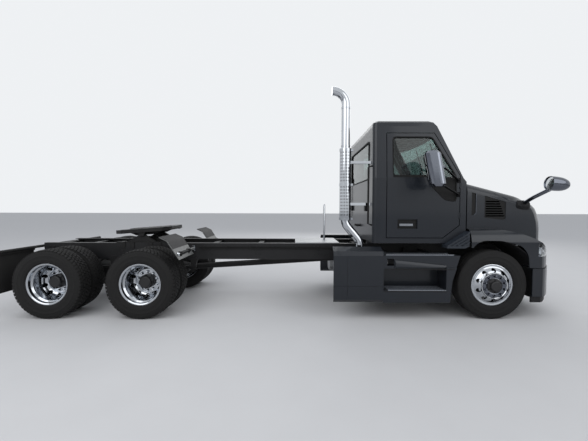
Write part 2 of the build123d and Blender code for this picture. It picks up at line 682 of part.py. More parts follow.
def air_tank():
    """Brake air reservoir slung beside the left rail, behind the cab."""
    x_range = (CAB_BACK_X - 1500, CAB_BACK_X - 700)
    y = FRAME_HALF + 130
    with BuildPart() as tank:
        rod((x_range[0], y, 820), (x_range[1], y, 820), 118)
        for x in (x_range[0] + 140, x_range[1] - 180):
            block((x, x + 40), (FRAME_HALF, FRAME_HALF + 60), (800, 960))
    return tank


def exhaust_stack():
    """Upright stack behind the cab with its heat shield, elbow and swept tip."""
    x = CAB_BACK_X - 384
    y = -900.0
    pipe = 63.5
    tip_z = 3332.0
    tip_bend = 200.0
    case_top = 890.0
    with BuildPart() as stack:
        with BuildLine():
            path = FilletPolyline((x + 215, y, case_top), (x + 215, y, 1110), (x, y, 1370), (x, y, tip_z),
                                  (x - tip_bend - 4, y, tip_z), radius=[150, 150, tip_bend - 2])
        with BuildSketch(Plane(origin=path @ 0, z_dir=path % 0)):
            Circle(pipe)
        sweep()
        rod((x, y, 1420), (x, y, 2485), 86)
        for z in (1640, 2260):
            block((x + 70, CAB_BACK_X), (y - 30, y + 30), (z, z + 40))
    return stack


# Bumper

def front_curve(inset, side_inset, back_x):
    """Plan of the front end: a wide arc with rounded ends, closed along a line at back_x."""
    centre_x = FRONT_X - NOSE_RADIUS
    radius = NOSE_RADIUS - inset
    side = FENDER_SIDE - side_inset
    turn_y = side - 90
    turn_x = centre_x + sqrt(radius ** 2 - turn_y ** 2)
    nose = (centre_x + radius, 0)
    for sign in (1, -1):
        ThreePointArc((turn_x, sign * turn_y), (turn_x - 50, sign * (turn_y + 52)), (turn_x - 110, sign * side))
        Line((turn_x - 110, sign * side), (back_x, sign * side))
    ThreePointArc((turn_x, turn_y), nose, (turn_x, -turn_y))
    Line((back_x, side), (back_x, -side))


def curved_slab(inset, back_x, z_range, mode=Mode.ADD):
    """A slab with the front end's plan."""
    with BuildSketch(Plane.XY.offset(z_range[0])) as plan:
        with BuildLine():
            front_curve(inset, inset, back_x)
        make_face()
    extrude(plan.sketch, amount=z_range[1] - z_range[0], mode=mode)


def bumper_skin():
    """Bumper shell with inward flanges, its air slots and fog lamp holes."""
    wall = 14.0
    flange = 60.0
    with BuildPart() as skin:
        curved_slab(0, BUMPER_REAR_X, (BUMPER_BOTTOM, BUMPER_TOP))
        curved_slab(flange, BUMPER_REAR_X - 10, (BUMPER_BOTTOM, BUMPER_TOP), Mode.SUBTRACT)
        curved_slab(wall, BUMPER_REAR_X - 10, (BUMPER_BOTTOM + wall, BUMPER_TOP - wall), Mode.SUBTRACT)
        for low in (392, 446, 500):
            with BuildSketch(cross_plane(FRONT_X - 200)) as slot:
                with Locations((0, low + 18)):
                    SlotOverall(560, 34)
            extrude(slot.sketch, amount=260, mode=Mode.SUBTRACT)
        for side in (1, -1):
            rod((FRONT_X - 420, side * 700, 480), (FRONT_X + 10, side * 700, 480), 62, Mode.SUBTRACT)
    return skin.part


def bumper():
    """Wrapped bumper on brackets from the rails."""
    bracket_top = BUMPER_TOP - 25
    with BuildPart() as shell:
        for side in (1, -1):
            y_range = sorted((side * (RAIL_CENTRE - 35), side * (RAIL_CENTRE + 35)))
            block((RAIL_FRONT_X - 90, FRONT_X - 20), y_range, (BUMPER_TOP - 180, bracket_top))
            block((RAIL_FRONT_X - 90, RAIL_FRONT_X), y_range, (bracket_top, FRAME_BOTTOM))
        curved_slab(4, BUMPER_REAR_X, (BUMPER_BOTTOM, FRAME_BOTTOM), Mode.INTERSECT)
        add(bumper_skin())
    return shell


def air_dam():
    """Flexible lower edge of the bumper."""
    with BuildPart() as dam:
        curved_slab(25, BUMPER_REAR_X, (AIR_DAM_BOTTOM, BUMPER_BOTTOM))
        curved_slab(50, BUMPER_REAR_X - 10, (AIR_DAM_BOTTOM, BUMPER_BOTTOM), Mode.SUBTRACT)
    return dam


# Hood

# Sections of the engine hood: x, half width, crown height, shoulder height
HOOD_SECTIONS = (
    (CAB_FRONT_X - 160, CAB_HALF - 55, 2072.0, 2030.0),
    (STEER_X + 520, 845.0, 1862.0, 1797.0),
    (FRONT_X + 10, 700.0, 1660.0, 1570.0),
)


def hood_section(half, crown, shoulder, base):
    """Upright sides, round shoulders and a low crown, closed at the base."""
    radius = 130.0
    for side in (1, -1):
        Line((side * half, base), (side * half, shoulder - radius))
        quarter_arc((side * half, shoulder - radius), (side * half, shoulder), (side * (half - radius), shoulder))
    ThreePointArc((half - radius, shoulder), (0, crown), (radius - half, shoulder))
    Line((half, base), (-half, base))


# How far the nose falls back as it rises: z, setback
NOSE_STATIONS = (
    (1280.0, 0.0), (1400.0, 10.0), (1520.0, 40.0), (1600.0, 75.0), (1650.0, 125.0), (1690.0, 195.0),
    (1740.0, 300.0), (2200.0, 900.0),
)


def nose_plan(nose, inset):
    """The hood's front end from above, drawn back past its sides."""
    front_y = 600 - inset
    side_y = 865 - inset
    for side in (1, -1):
        ThreePointArc((nose - 135, side * front_y), (nose - 320, side * (790 - inset)), (nose - 610, side * side_y))
        Polyline((nose - 610, side * side_y), (nose - 610, side * 1200), (CAB_FRONT_X - 400, side * 1200))
    ThreePointArc((nose - 135, front_y), (nose, 0), (nose - 135, -front_y))
    Line((CAB_FRONT_X - 400, 1200), (CAB_FRONT_X - 400, -1200))


def nose_form(inset, base):
    """Everything behind the hood's nose: upright at the grille, then falling back over the top edge."""
    nose = FRONT_X - NOSE_SETBACK - inset
    with BuildPart() as form:
        for z, setback in ((base, 0.0), *((z - inset, setback) for z, setback in NOSE_STATIONS)):
            with BuildSketch(Plane.XY.offset(z)):
                with BuildLine():
                    nose_plan(nose - setback, inset)
                make_face()
        loft(ruled=True)
    return form.part


def hood_form(inset):
    """The engine hood without its fenders, or the same form set in by a wall."""
    base = SKIRT_Z - inset * 4
    with BuildPart() as form:
        for x, half, crown, shoulder in HOOD_SECTIONS:
            with BuildSketch(cross_plane(x)):
                with BuildLine():
                    hood_section(half - inset, crown - inset, shoulder - inset, base)
                make_face()
        loft(ruled=True)
        add(nose_form(inset, base), mode=Mode.INTERSECT)
    return form.part


def fender_form(inset):
    """Both fenders as plain forms: side outline, front plan and rounded outer edge together."""
    base = SKIRT_Z - inset * 4
    back_x = CAB_FRONT_X + 16 - inset * 3
    d = -inset
    with BuildPart() as form:
        with BuildSketch(side_plane(-1300)):
            with BuildLine():
                Line((back_x, 1304 + d), (STEER_X + 150 + d, 1292 + d))
                ThreePointArc((STEER_X + 150 + d, 1292 + d), (STEER_X + 430 + d, 1232 + d),
                              (STEER_X + 690 + d, 1108 + d))
                ThreePointArc((STEER_X + 690 + d, 1108 + d), (STEER_X + 930 + d, 955 + d),
                              (FRONT_X - 150 + d, base))
                Polyline((FRONT_X - 150 + d, base), (back_x, base), (back_x, 1304 + d))
            make_face()
        extrude(amount=-2600)
        with BuildSketch(Plane.XY.offset(base)):
            with BuildLine():
                front_curve(12 + inset, inset, back_x)
            make_face()
        extrude(amount=1400 - base, mode=Mode.INTERSECT)
        with BuildSketch(cross_plane(back_x)):
            for side in (1, -1):
                with BuildLine():
                    Line((side * (FENDER_SIDE + d), base), (side * (FENDER_SIDE + d), 1120 + d))
                    ThreePointArc((side * (FENDER_SIDE + d), 1120 + d), (side * (FENDER_SIDE - 78 + d), 1258 + d),
                                  (side * (FENDER_SIDE - 250 + d), 1312 + d))
                    Line((side * (FENDER_SIDE - 250 + d), 1312 + d), (side * 560, 1330 + d))
                    Line((side * 560, 1330 + d), (side * 560, base))
                    Line((side * 560, base), (side * (FENDER_SIDE + d), base))
                make_face()
        extrude(amount=2000, mode=Mode.INTERSECT)
    return form.part


def arch_cut(side):
    """Open the wheel arch in the fender on one side."""
    with BuildSketch(side_plane(side * 620)) as arch:
        with BuildLine():
            Polyline((STEER_X + 518, 600), (STEER_X + 490, 900))
            ThreePointArc((STEER_X + 490, 900), (STEER_X + 430, 1020), (STEER_X + 310, 1096))
            Polyline((STEER_X + 310, 1096), (STEER_X + 90, 1140), (STEER_X - 130, 1142))
            ThreePointArc((STEER_X - 130, 1142), (STEER_X - 230, 1108), (STEER_X - 300, 1040))
            Polyline((STEER_X - 300, 1040), (STEER_X - 500, 1040), (STEER_X - 500, 600), (STEER_X + 518, 600))
        make_face()
    extrude(arch.sketch, amount=-side * 640, mode=Mode.SUBTRACT)


def lamp_region(side, mode):
    """The corner of the fender that the headlamp takes."""
    y_range = sorted((side * 640, side * (FENDER_SIDE + 10)))
    block((FRONT_X - 630, FRONT_X), y_range, (915, 1105), mode)


def grille_region(mode):
    """The opening in the nose, wider at the top."""
    cross_plate([(-430, GRILLE_BOTTOM), (430, GRILLE_BOTTOM), (500, GRILLE_TOP), (-500, GRILLE_TOP)],
                (FRONT_X - 400, FRONT_X), mode)


# Openings in each side of the hood, as (x, z): an air slot and a wide vent
VENT_SLOT = [(STEER_X - 215, 1838.0), (STEER_X - 145, 1820.0), (STEER_X - 145, 1530.0), (STEER_X - 180, 1500.0),
             (STEER_X - 215, 1500.0)]
VENT_PANEL = [(STEER_X - 5, 1790.0), (STEER_X + 345, 1700.0), (STEER_X + 345, 1440.0), (STEER_X + 300, 1430.0),
              (STEER_X - 5, 1462.0)]


def vent_regions(side, mode):
    """Both openings pushed through one side of the hood."""
    for outline in (VENT_SLOT, VENT_PANEL):
        side_plate(outline, sorted((side * 600, side * 1100)), mode)


def hood():
    """One-piece tilting hood: thin shell, fenders, openings, and lugs on its hinge pins."""
    with BuildPart() as shell:
        add(hood_form(0))
        add(fender_form(0))
        add(hood_form(PANEL_WALL), mode=Mode.SUBTRACT)
        add(fender_form(PANEL_WALL), mode=Mode.SUBTRACT)
        with BuildSketch(Plane.XY.offset(SKIRT_Z - 100)):
            with BuildLine():
                ThreePointArc((CAB_FRONT_X + 12, -1250), (CAB_FRONT_X + 132, 0), (CAB_FRONT_X + 12, 1250))
                Polyline((CAB_FRONT_X + 12, 1250), (CAB_FRONT_X - 500, 1250), (CAB_FRONT_X - 500, -1250),
                         (CAB_FRONT_X + 12, -1250))
            make_face()
        extrude(amount=1500, mode=Mode.SUBTRACT)
        for side in (1, -1):
            arch_cut(side)
            lamp_region(side, Mode.SUBTRACT)
            vent_regions(side, Mode.SUBTRACT)
        grille_region(Mode.SUBTRACT)
        for side in (1, -1):
            y_range = sorted((side * 325, side * 345))
            side_plate([(HINGE_X - 26, HINGE_Z + 26), (HINGE_X - 26, HINGE_Z - 26),
                        (FRONT_X - 122, HINGE_Z - 60), (FRONT_X - 122, HINGE_Z + 40)], y_range)
            rod((HINGE_X, y_range[0], HINGE_Z), (HINGE_X, y_range[1], HINGE_Z), HINGE_PIN + BEARING_GAP,
                Mode.SUBTRACT)
    return shell


def grille():
    """Slatted insert that follows the curve of the nose."""
    slats = 11
    bar = 15.0
    pitch = (GRILLE_TOP - GRILLE_BOTTOM - bar) / slats
    with BuildPart() as insert:
        grille_region(Mode.ADD)
        for row in range(slats):
            low = GRILLE_BOTTOM + bar + pitch * row
            for side in (1, -1):
                y_range = sorted((side * 12, side * (415 + 5 * row)))
                block((FRONT_X - 401, FRONT_X + 1), y_range, (low, low + pitch - bar), Mode.SUBTRACT)
        add(hood_form(2), mode=Mode.INTERSECT)
        add(hood_form(34), mode=Mode.SUBTRACT)
    return insert


def hood_vents():
    """Louvred black inserts for the openings in the hood's sides."""
    with BuildPart() as vents:
        for side in (1, -1):
            vent_regions(side, Mode.ADD)
        add(hood_form(5), mode=Mode.INTERSECT)
        add(hood_form(11), mode=Mode.SUBTRACT)
        for row in range(7):
            z = 1478 + row * 36
            block((STEER_X + 15, STEER_X + 325 - row * 14), (-1100, 1100), (z, z + 20), Mode.SUBTRACT)
    return vents


def fender_liners():
    """Black arch liners over the steer tyres, fixed inside the fenders."""
    radius = 645.0
    sheet = 6.0
    with BuildPart() as liners:
        for side in (1, -1):
            near = (STEER_X, side * 570, AXLE_Z)
            far = (STEER_X, side * FENDER_SIDE, AXLE_Z)
            rod(near, far, radius + sheet)
            rod(near, far, radius, Mode.SUBTRACT)
        side_plate([(STEER_X - 235, 1000), (STEER_X - 235, 1400), (STEER_X + 700, 1400), (STEER_X + 700, SKIRT_Z + 5),
                    (STEER_X + 400, SKIRT_Z + 5)], (-1300, 1300), Mode.INTERSECT)
        add(fender_form(PANEL_WALL), mode=Mode.INTERSECT)
    return liners


def headlamps():
    """Lens blocks that wrap the fender corners."""
    with BuildPart() as lenses:
        for side in (1, -1):
            lamp_region(side, Mode.ADD)
        add(fender_form(2), mode=Mode.INTERSECT)
        add(fender_form(46), mode=Mode.SUBTRACT)
    return lenses


def hood_mirrors():
    """Bullet mirrors on arms from pedestals on the hood's shoulders."""
    foot = (FRONT_X - 632, 780.0, 1645.0)
    head = (FRONT_X - 425, 1250.0, 1940.0)
    head_radius = 100.0
    with BuildPart() as mirrors:
        for side in (1, -1):
            start = (foot[0], side * foot[1], foot[2])
            middle = (foot[0] + 40, side * 960, 1750)
            end = (head[0] - 20, side * head[1], head[2])
            with BuildSketch(Plane(origin=start, x_dir=(1, 0, 0), z_dir=(0, side, 0.45))) as base:
                RectangleRounded(250, 150, 50)
            extrude(base.sketch, amount=90, taper=18)
            rod(start, middle, 30)
            with Locations(middle):
                Sphere(30)
            rod(middle, end, 26)
            rod((head[0] - 150, end[1], end[2]), (head[0] + 70, end[1], end[2]), head_radius)
            rod((head[0] - 151, end[1], end[2]), (head[0] - 140, end[1], end[2]), head_radius - 12, Mode.SUBTRACT)
            with Locations((head[0] + 70, end[1], end[2])):
                Sphere(head_radius)
        add(hood_form(0), mode=Mode.SUBTRACT)
    return mirrors


# Cab

def cab_plan(back, half, pillar, bow):
    """Cab outline from above: square back with round corners and a bowed front."""
    corner = 65.0
    for side in (1, -1):
        Line((pillar, side * half), (back + corner, side * half))
        quarter_arc((back + corner, side * half), (back, side * half), (back, side * (half - corner)))
    Line((back, half - corner), (back, corner - half))
    ThreePointArc((pillar, half), (pillar + bow, 0), (pillar, -half))


SILL_RISE = 0.6233
SILL_INSIDE = CAB_HALF - 60


def sill_z(x):
    """Height of the slanting edge under the cab's front corner."""
    return CAB_FLOOR_Z - 30 + SILL_RISE * (x - CAB_FRONT_X + 340)


# Sections of the cab: z, back, half width, pillar x, bow of the front
CAB_SECTIONS = (
    (COWL_Z, CAB_BACK_X, CAB_HALF, CAB_FRONT_X, 120.0),
    (BELT_Z, CAB_BACK_X, CAB_HALF, CAB_FRONT_X - 45, 130.0),
    (2795.0, CAB_BACK_X + 6, CAB_HALF - 52, CAB_FRONT_X - 420, 150.0),
    (2852.0, CAB_BACK_X + 14, CAB_HALF - 70, CAB_FRONT_X - 470, 150.0),
    (2879.0, CAB_BACK_X + 40, CAB_HALF - 105, CAB_FRONT_X - 530, 150.0),
    (2892.0, CAB_BACK_X + 95, CAB_HALF - 175, CAB_FRONT_X - 620, 140.0),
)


def cab_form(inset):
    """The cab's outer form, or the same form set in by a wall."""
    floor = CAB_FLOOR_Z + inset
    with BuildPart() as form:
        sections = [(floor, *CAB_SECTIONS[0][1:])]
        for z, *plan in CAB_SECTIONS:
            sections.append((z if z < 2100 else z - inset, *plan))
        for low, high in zip(sections, sections[1:]):
            for z, back, half, pillar, bow in (low, high):
                with BuildSketch(Plane.XY.offset(z)):
                    with BuildLine():
                        cab_plan(back + inset, half - inset, pillar - inset * 1.15, bow)
                    make_face()
            loft(ruled=True)
        slope = sqrt(1 + SILL_RISE ** 2)
        back_x = CAB_FRONT_X - 340 - inset * SILL_RISE / slope
        back_z = sill_z(back_x) + inset * slope
        front_x = CAB_FRONT_X + 220
        for side in (1, -1):
            y_range = sorted((side * (SILL_INSIDE - inset), side * (CAB_HALF + 245)))
            side_plate([(back_x, back_z), (front_x, back_z + SILL_RISE * (front_x - back_x)),
                        (front_x, CAB_FLOOR_Z - 90), (back_x, CAB_FLOOR_Z - 90)], y_range, Mode.SUBTRACT)
    return form.part


DOOR_OUTLINE = [
    (CAB_BACK_X + 203, 1172.0), (CAB_FRONT_X - 333, 1172.0), (CAB_FRONT_X - 97, 1357.0),
    (CAB_FRONT_X - 97, 2070.0), (CAB_FRONT_X - 462, 2690.0), (CAB_BACK_X + 203, 2690.0),
]
DOOR_WINDOW = [
    (CAB_BACK_X + 290, 2074.0), (CAB_FRONT_X - 560, 2074.0), (CAB_FRONT_X - 500, 1920.0),
    (CAB_FRONT_X - 310, 1724.0), (CAB_FRONT_X - 150, 1700.0), (CAB_FRONT_X - 150, 2060.0),
    (CAB_FRONT_X - 496, 2635.0), (CAB_BACK_X + 290, 2635.0),
]


def door_hinge(z, side, low, high, radius, mode):
    """A stretch of one door hinge: a cylinder about its pin line, low to high from its middle."""
    rod((DOOR_PIN_X, side * CAB_HALF, z + low), (DOOR_PIN_X, side * CAB_HALF, z + high), radius, mode)


def door_prism(grow, side, mode):
    """The door's outline pushed through one side of the cab, made larger all round by grow."""
    with BuildSketch(side_plane(side * (CAB_HALF - 195))) as outline:
        with BuildLine():
            Polyline(*DOOR_OUTLINE, close=True)
        make_face()
        if grow:
            offset(amount=grow, kind=Kind.INTERSECTION)
    extrude(outline.sketch, amount=-side * 300, mode=mode)


def cab_shell():
    """Hollow cab: floor, roof, back wall, cowl and pillars, on four mounts."""
    with BuildPart() as shell:
        add(cab_form(0))
        add(cab_form(CAB_WALL), mode=Mode.SUBTRACT)
        for side in (1, -1):
            door_prism(DOOR_GAP, side, Mode.SUBTRACT)
        block((CAB_FRONT_X - 660, CAB_FRONT_X + 300), (-WINDSHIELD_HALF, WINDSHIELD_HALF),
              (2100, 2740), Mode.SUBTRACT)
        block((CAB_BACK_X - 50, CAB_BACK_X + 80), (-REAR_WINDOW_HALF, REAR_WINDOW_HALF),
              (2040, 2620), Mode.SUBTRACT)
        for x in (CAB_BACK_X + 60, CAB_FRONT_X - 260):
            for side in (1, -1):
                y_range = sorted((side * (RAIL_CENTRE - 40), side * (RAIL_CENTRE + 40)))
                block((x, x + 100), y_range, (FRAME_TOP, CAB_FLOOR_Z))
        for z in DOOR_HINGE_HEIGHTS:
            for side in (1, -1):
                door_hinge(z, side, -34, 34, 14, Mode.SUBTRACT)
                for low, high in ((-50, -30 - BEARING_GAP), (30 + BEARING_GAP, 50)):
                    door_hinge(z, side, low, high, 9, Mode.ADD)
                    y_range = sorted((side * (CAB_HALF - 9), side * CAB_HALF))
                    block((DOOR_PIN_X, DOOR_PIN_X + 12), y_range, (z + low, z + high))
                door_hinge(z, side, -50, 50, 5, Mode.ADD)
    return shell


def splash_panels():
    """Ribbed black panels that close the cab's lower front corners behind the wheels."""
    low_z = CAB_FLOOR_Z - 60
    with BuildPart() as panels:
        for side in (1, -1):
            y_range = sorted((side * SILL_INSIDE, side * (FENDER_SIDE - 10)))
            back_x = CAB_FRONT_X - 320
            front_x = CAB_FRONT_X - 2
            side_plate([(back_x, sill_z(back_x)), (front_x, sill_z(front_x)), (front_x, CAB_FLOOR_Z - 28),
                        (front_x - 60, low_z), (back_x, low_z)], y_range)
            for step in range(6):
                groove = low_z + 40 + step * 30
                block((back_x - 10, front_x + 10), sorted((side * (FENDER_SIDE - 20), side * FENDER_SIDE)),
                      (groove, groove + 12), Mode.SUBTRACT)
    return panels


def windshield():
    """Bowed screen set in the front opening."""
    with BuildPart() as glass:
        add(cab_form(8))
        add(cab_form(8 + GLASS_THICK), mode=Mode.SUBTRACT)
        block((CAB_FRONT_X - 660, CAB_FRONT_X + 300), (-WINDSHIELD_HALF, WINDSHIELD_HALF),
              (2100, 2740), Mode.INTERSECT)
    return glass


def rear_window():
    """Flat glass in the back wall."""
    with BuildPart() as glass:
        block((CAB_BACK_X + 12, CAB_BACK_X + 18), (-REAR_WINDOW_HALF, REAR_WINDOW_HALF), (2040, 2620))
    return glass


def seats():
    """Driver's and passenger's air seats."""
    with BuildPart() as pair:
        for side in (1, -1):
            y = side * 520
            x = CAB_BACK_X + 560
            block((x - 230, x + 270), (y - 250, y + 250), (1500, 1640))
            side_plate([(x - 230, 1600), (x - 330, 2240), (x - 220, 2240), (x - 110, 1640)], (y - 240, y + 240))
            block((x - 150, x + 170), (y - 170, y + 170), (CAB_FLOOR_Z + CAB_WALL, 1500))
    return pair


# Steering column: centre of the wheel, lean from upright, length below the wheel and radius
COLUMN_CENTRE = (CAB_FRONT_X - 520, 520.0, 1930.0)
COLUMN_LEAN = radians(28)
COLUMN_LENGTH = 330.0
COLUMN_RADIUS = 26.0


def column_point(distance):
    """A point on the column's line, measured down from the middle of the wheel."""
    x, y, z = COLUMN_CENTRE
    return x + distance * sin(COLUMN_LEAN), y, z - distance * cos(COLUMN_LEAN)


def dashboard():
    """Dash panel across the cab under the windshield."""
    back = CAB_FRONT_X - 380
    front = CAB_FRONT_X + 200
    with BuildPart() as dash:
        side_plate([(back, 1540), (back - 40, 1700), (back + 60, 1960), (back + 200, 2010), (front, 2010),
                    (front, 1400), (back + 140, 1400)], (-940, 940))
        add(cab_form(CAB_WALL), mode=Mode.INTERSECT)
        rod(column_point(0), column_point(COLUMN_LENGTH + 3), COLUMN_RADIUS + BEARING_GAP, Mode.SUBTRACT)
    return dash


def steering_wheel():
    """Rim, spokes and the column's upper end."""
    toward = (-sin(COLUMN_LEAN), 0, cos(COLUMN_LEAN))
    with BuildPart() as wheel:
        with BuildSketch(Plane(origin=COLUMN_CENTRE, x_dir=(0, 1, 0), z_dir=toward)):
            Circle(228)
            Circle(200, mode=Mode.SUBTRACT)
            Circle(62)
            for angle in (0, 120, 240):
                with Locations(Rot(0, 0, angle)):
                    with Locations((132, 0)):
                        Rectangle(150, 30)
        extrude(amount=26)
        rod(column_point(COLUMN_LENGTH), COLUMN_CENTRE, COLUMN_RADIUS)
    return wheel


def door():
    """One door: thick leaf with its window cut."""
    with BuildPart() as leaf:
        add(cab_form(0))
        add(cab_form(CAB_WALL), mode=Mode.SUBTRACT)
        door_prism(0, 1, Mode.INTERSECT)
        side_plate(DOOR_WINDOW, (CAB_HALF - 205, CAB_HALF + 145), Mode.SUBTRACT)
        block((HANDLE_X, HANDLE_X + 290), (CAB_HALF - 26, CAB_HALF + 1), (1300, 1438), Mode.SUBTRACT)
        block((HANDLE_X + 24, HANDLE_X + 225), (CAB_HALF - 14, CAB_HALF + 3), (1340, 1376))
        for x in (HANDLE_X + 24, HANDLE_X + 201):
            block((x, x + 24), (CAB_HALF - 26, CAB_HALF - 10), (1345, 1371))
        for z in DOOR_HINGE_HEIGHTS:
            for low, high in ((-56, -30), (30, 56)):
                door_hinge(z, 1, low, high, 14, Mode.SUBTRACT)
            door_hinge(z, 1, -30, 30, 9, Mode.ADD)
            block((DOOR_PIN_X - 12, DOOR_PIN_X), (CAB_HALF - 9, CAB_HALF), (z - 30, z + 30))
            door_hinge(z, 1, -30, 30, 5 + BEARING_GAP, Mode.SUBTRACT)
    return leaf


def door_glass():
    """The door's window."""
    with BuildPart() as glass:
        add(cab_form(14))
        add(cab_form(14 + GLASS_THICK), mode=Mode.SUBTRACT)
        side_plate(DOOR_WINDOW, (CAB_HALF - 205, CAB_HALF + 145), Mode.INTERSECT)
    return glass


def door_mirror():
    """Tall mirror head, turned a little to the driver, on two arms from the front of the door."""
    centre_x = CAB_FRONT_X - 622
    centre_y = CAB_HALF + 365
    head_sections = ((1888, 150, 240, 42), (1922, 200, 296, 38), (2320, 200, 296, -38), (2354, 150, 240, -42))
    with BuildPart() as head:
        for z, depth, width, lean in head_sections:
            with BuildSketch(Plane((centre_x + lean, centre_y, z))):
                with Locations(Rot(0, 0, 18)):
                    RectangleRounded(depth, width, 70)
        loft(ruled=True)
        for foot_z, head_z in ((1800, 1985), (2005, 2270)):
            x = CAB_FRONT_X - 125
            block((x - 22, x + 22), (CAB_HALF, CAB_HALF + 30), (foot_z - 34, foot_z + 34))
            rod((x, CAB_HALF + 20, foot_z), (centre_x + 30, CAB_HALF + 300, head_z), 15)
    return head


os.makedirs("parts", exist_ok=True)

finish_pair(frame_rail(), "frame_rail")
finish(crossmembers(), "crossmembers")
finish(front_axle(), "front_axle")
finish(front_springs(), "front_springs")
finish_pair(knuckle(), "knuckle")
finish(tie_rod(), "tie_rod")
finish_pair(steer_wheel(), "steer_wheel")
finish_pair(steer_tyre(), "steer_tyre")
for place, drive_x in DRIVE_X.items():
    finish_pair(dual_wheel(drive_x), f"{place}_drive_wheel")
    finish_pair(dual_tyres(drive_x), f"{place}_drive_tyres")
    finish(drive_axle(place), f"{place}_drive_axle")
finish(rear_suspension(), "rear_suspension")
finish(powertrain(), "powertrain")
finish(radiator(), "radiator")
finish(fifth_wheel_base(), "fifth_wheel_base")
finish(fifth_wheel_plate(), "fifth_wheel_plate")
finish(deck_plate(), "deck_plate")
finish_pair(quarter_fender(), "quarter_fender")
finish(mudflaps(), "mudflaps")
finish(rear_light_bar(), "rear_light_bar")
finish_pair(fairing(), "fairing")
finish(fuel_tank(), "fuel_tank")
finish(service_boxes(), "service_boxes")
finish(air_tank(), "air_tank")
finish(exhaust_stack(), "exhaust_stack")
finish(bumper(), "bumper")
finish(air_dam(), "air_dam")
finish(hood(), "hood")
finish(grille(), "grille")
finish(hood_vents(), "hood_vents")
finish(fender_liners(), "fender_liners")
finish(headlamps(), "headlamps")
finish(hood_mirrors(), "hood_mirrors")
finish(cab_shell(), "cab_shell")
finish(splash_panels(), "splash_panels")
finish(windshield(), "windshield")
finish(rear_window(), "rear_window")
finish(seats(), "seats")
finish(dashboard(), "dashboard")
finish(steering_wheel(), "steering_wheel")
finish_pair(door(), "door")
finish_pair(door_glass(), "door_glass")
finish_pair(door_mirror(), "door_mirror")
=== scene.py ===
from math import cos, pi, radians, sin, sqrt

import bmesh
import bpy
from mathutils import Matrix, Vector


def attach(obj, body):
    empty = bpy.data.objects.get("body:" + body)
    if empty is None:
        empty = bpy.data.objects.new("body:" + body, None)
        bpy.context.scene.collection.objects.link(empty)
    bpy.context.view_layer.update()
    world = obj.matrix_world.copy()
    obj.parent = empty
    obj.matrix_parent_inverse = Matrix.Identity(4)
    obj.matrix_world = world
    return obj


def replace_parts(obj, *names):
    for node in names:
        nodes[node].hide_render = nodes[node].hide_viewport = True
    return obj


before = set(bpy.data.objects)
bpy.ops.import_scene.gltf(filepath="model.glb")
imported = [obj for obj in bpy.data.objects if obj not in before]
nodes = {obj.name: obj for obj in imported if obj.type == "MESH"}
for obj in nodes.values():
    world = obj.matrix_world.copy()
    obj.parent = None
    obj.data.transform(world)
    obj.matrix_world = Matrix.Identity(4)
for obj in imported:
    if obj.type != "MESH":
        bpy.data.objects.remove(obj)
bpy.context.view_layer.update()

# Places that the CAD source names, in metres
STEER_X = 2.9095
DRIVE_X = {"front": -2.1355, "rear": -3.4655}
AXLE_Z = 0.5
STEER_HALF = 1.03
DRIVE_HALF = 0.92
DUAL_HALF = 0.1715
DISC_OFFSET = 0.1715
TYRE_RADIUS = 0.5
CAB_BACK_X = 1.2075
CAB_FRONT_X = 2.5605
CAB_HALF = 1.055
BELT_Z = 2.04
FRONT_X = 4.1655
REAR_X = -4.1655
RAIL_FACE = 0.43
FIFTH_X = -2.4705
FIFTH_Z = 1.15
SIDES = (("left", 1), ("right", -1))


# Materials

def set_inputs(tree, node, values):
    """Give each input a number, a colour or another node's output."""
    for key, value in values.items():
        if isinstance(value, bpy.types.NodeSocket):
            tree.links.new(value, node.inputs[key])
        else:
            node.inputs[key].default_value = value


def add_node(tree, kind, values):
    node = tree.nodes.new(kind)
    set_inputs(tree, node, values)
    return node


def calculate(tree, operation, first, second=0.0):
    """The result of one step of arithmetic on outputs or numbers."""
    node = tree.nodes.new("ShaderNodeMath")
    node.operation = operation
    set_inputs(tree, node, {0: first, 1: second})
    return node.outputs["Value"]


def blend(tree, factor, first, second):
    """A mix of two numbers or of two colours."""
    node = tree.nodes.new("ShaderNodeMix")
    if isinstance(second, float):
        node.data_type = "FLOAT"
        low, high, result = 2, 3, 0
    else:
        node.data_type = "RGBA"
        low, high, result = 6, 7, 2
    set_inputs(tree, node, {0: factor, low: first, high: second})
    return node.outputs[result]


def axes(tree, source):
    """The outputs X, Y and Z of a point's place."""
    coord = tree.nodes.new("ShaderNodeTexCoord")
    return add_node(tree, "ShaderNodeSeparateXYZ", {"Vector": coord.outputs[source]}).outputs


def surface(name, dark, light, rough, metal=0.0, coat=0.0, spread=0.06, scale=3.0, bump=0.0,
            bump_scale=250.0, stretch=(1, 1, 1), gloss=0.5):
    """A material whose colour and roughness wander a little, with a fine bump."""
    mat = bpy.data.materials.new(name)
    mat.use_nodes = True
    tree = mat.node_tree
    coord = tree.nodes.new("ShaderNodeTexCoord")
    mapping = add_node(tree, "ShaderNodeMapping", {"Scale": stretch, "Vector": coord.outputs["Object"]})
    place = mapping.outputs["Vector"]
    noise = add_node(tree, "ShaderNodeTexNoise", {"Scale": scale, "Detail": 6.0, "Vector": place})
    cloud = noise.outputs["Fac"]
    span = add_node(tree, "ShaderNodeMapRange", {
        "To Min": max(rough - spread, 0.02), "To Max": rough + spread, "Value": cloud})
    values = {"Metallic": metal, "Coat Weight": coat, "Coat Roughness": 0.08, "Specular IOR Level": gloss,
              "Base Color": blend(tree, cloud, (*dark, 1), (*light, 1)), "Roughness": span.outputs["Result"]}
    if bump:
        grain = add_node(tree, "ShaderNodeTexNoise", {"Scale": bump_scale, "Detail": 3.0, "Vector": place})
        height = add_node(tree, "ShaderNodeBump", {
            "Strength": bump, "Distance": 0.002, "Height": grain.outputs["Fac"]})
        values["Normal"] = height.outputs["Normal"]
    set_inputs(tree, tree.nodes["Principled BSDF"], values)
    return mat


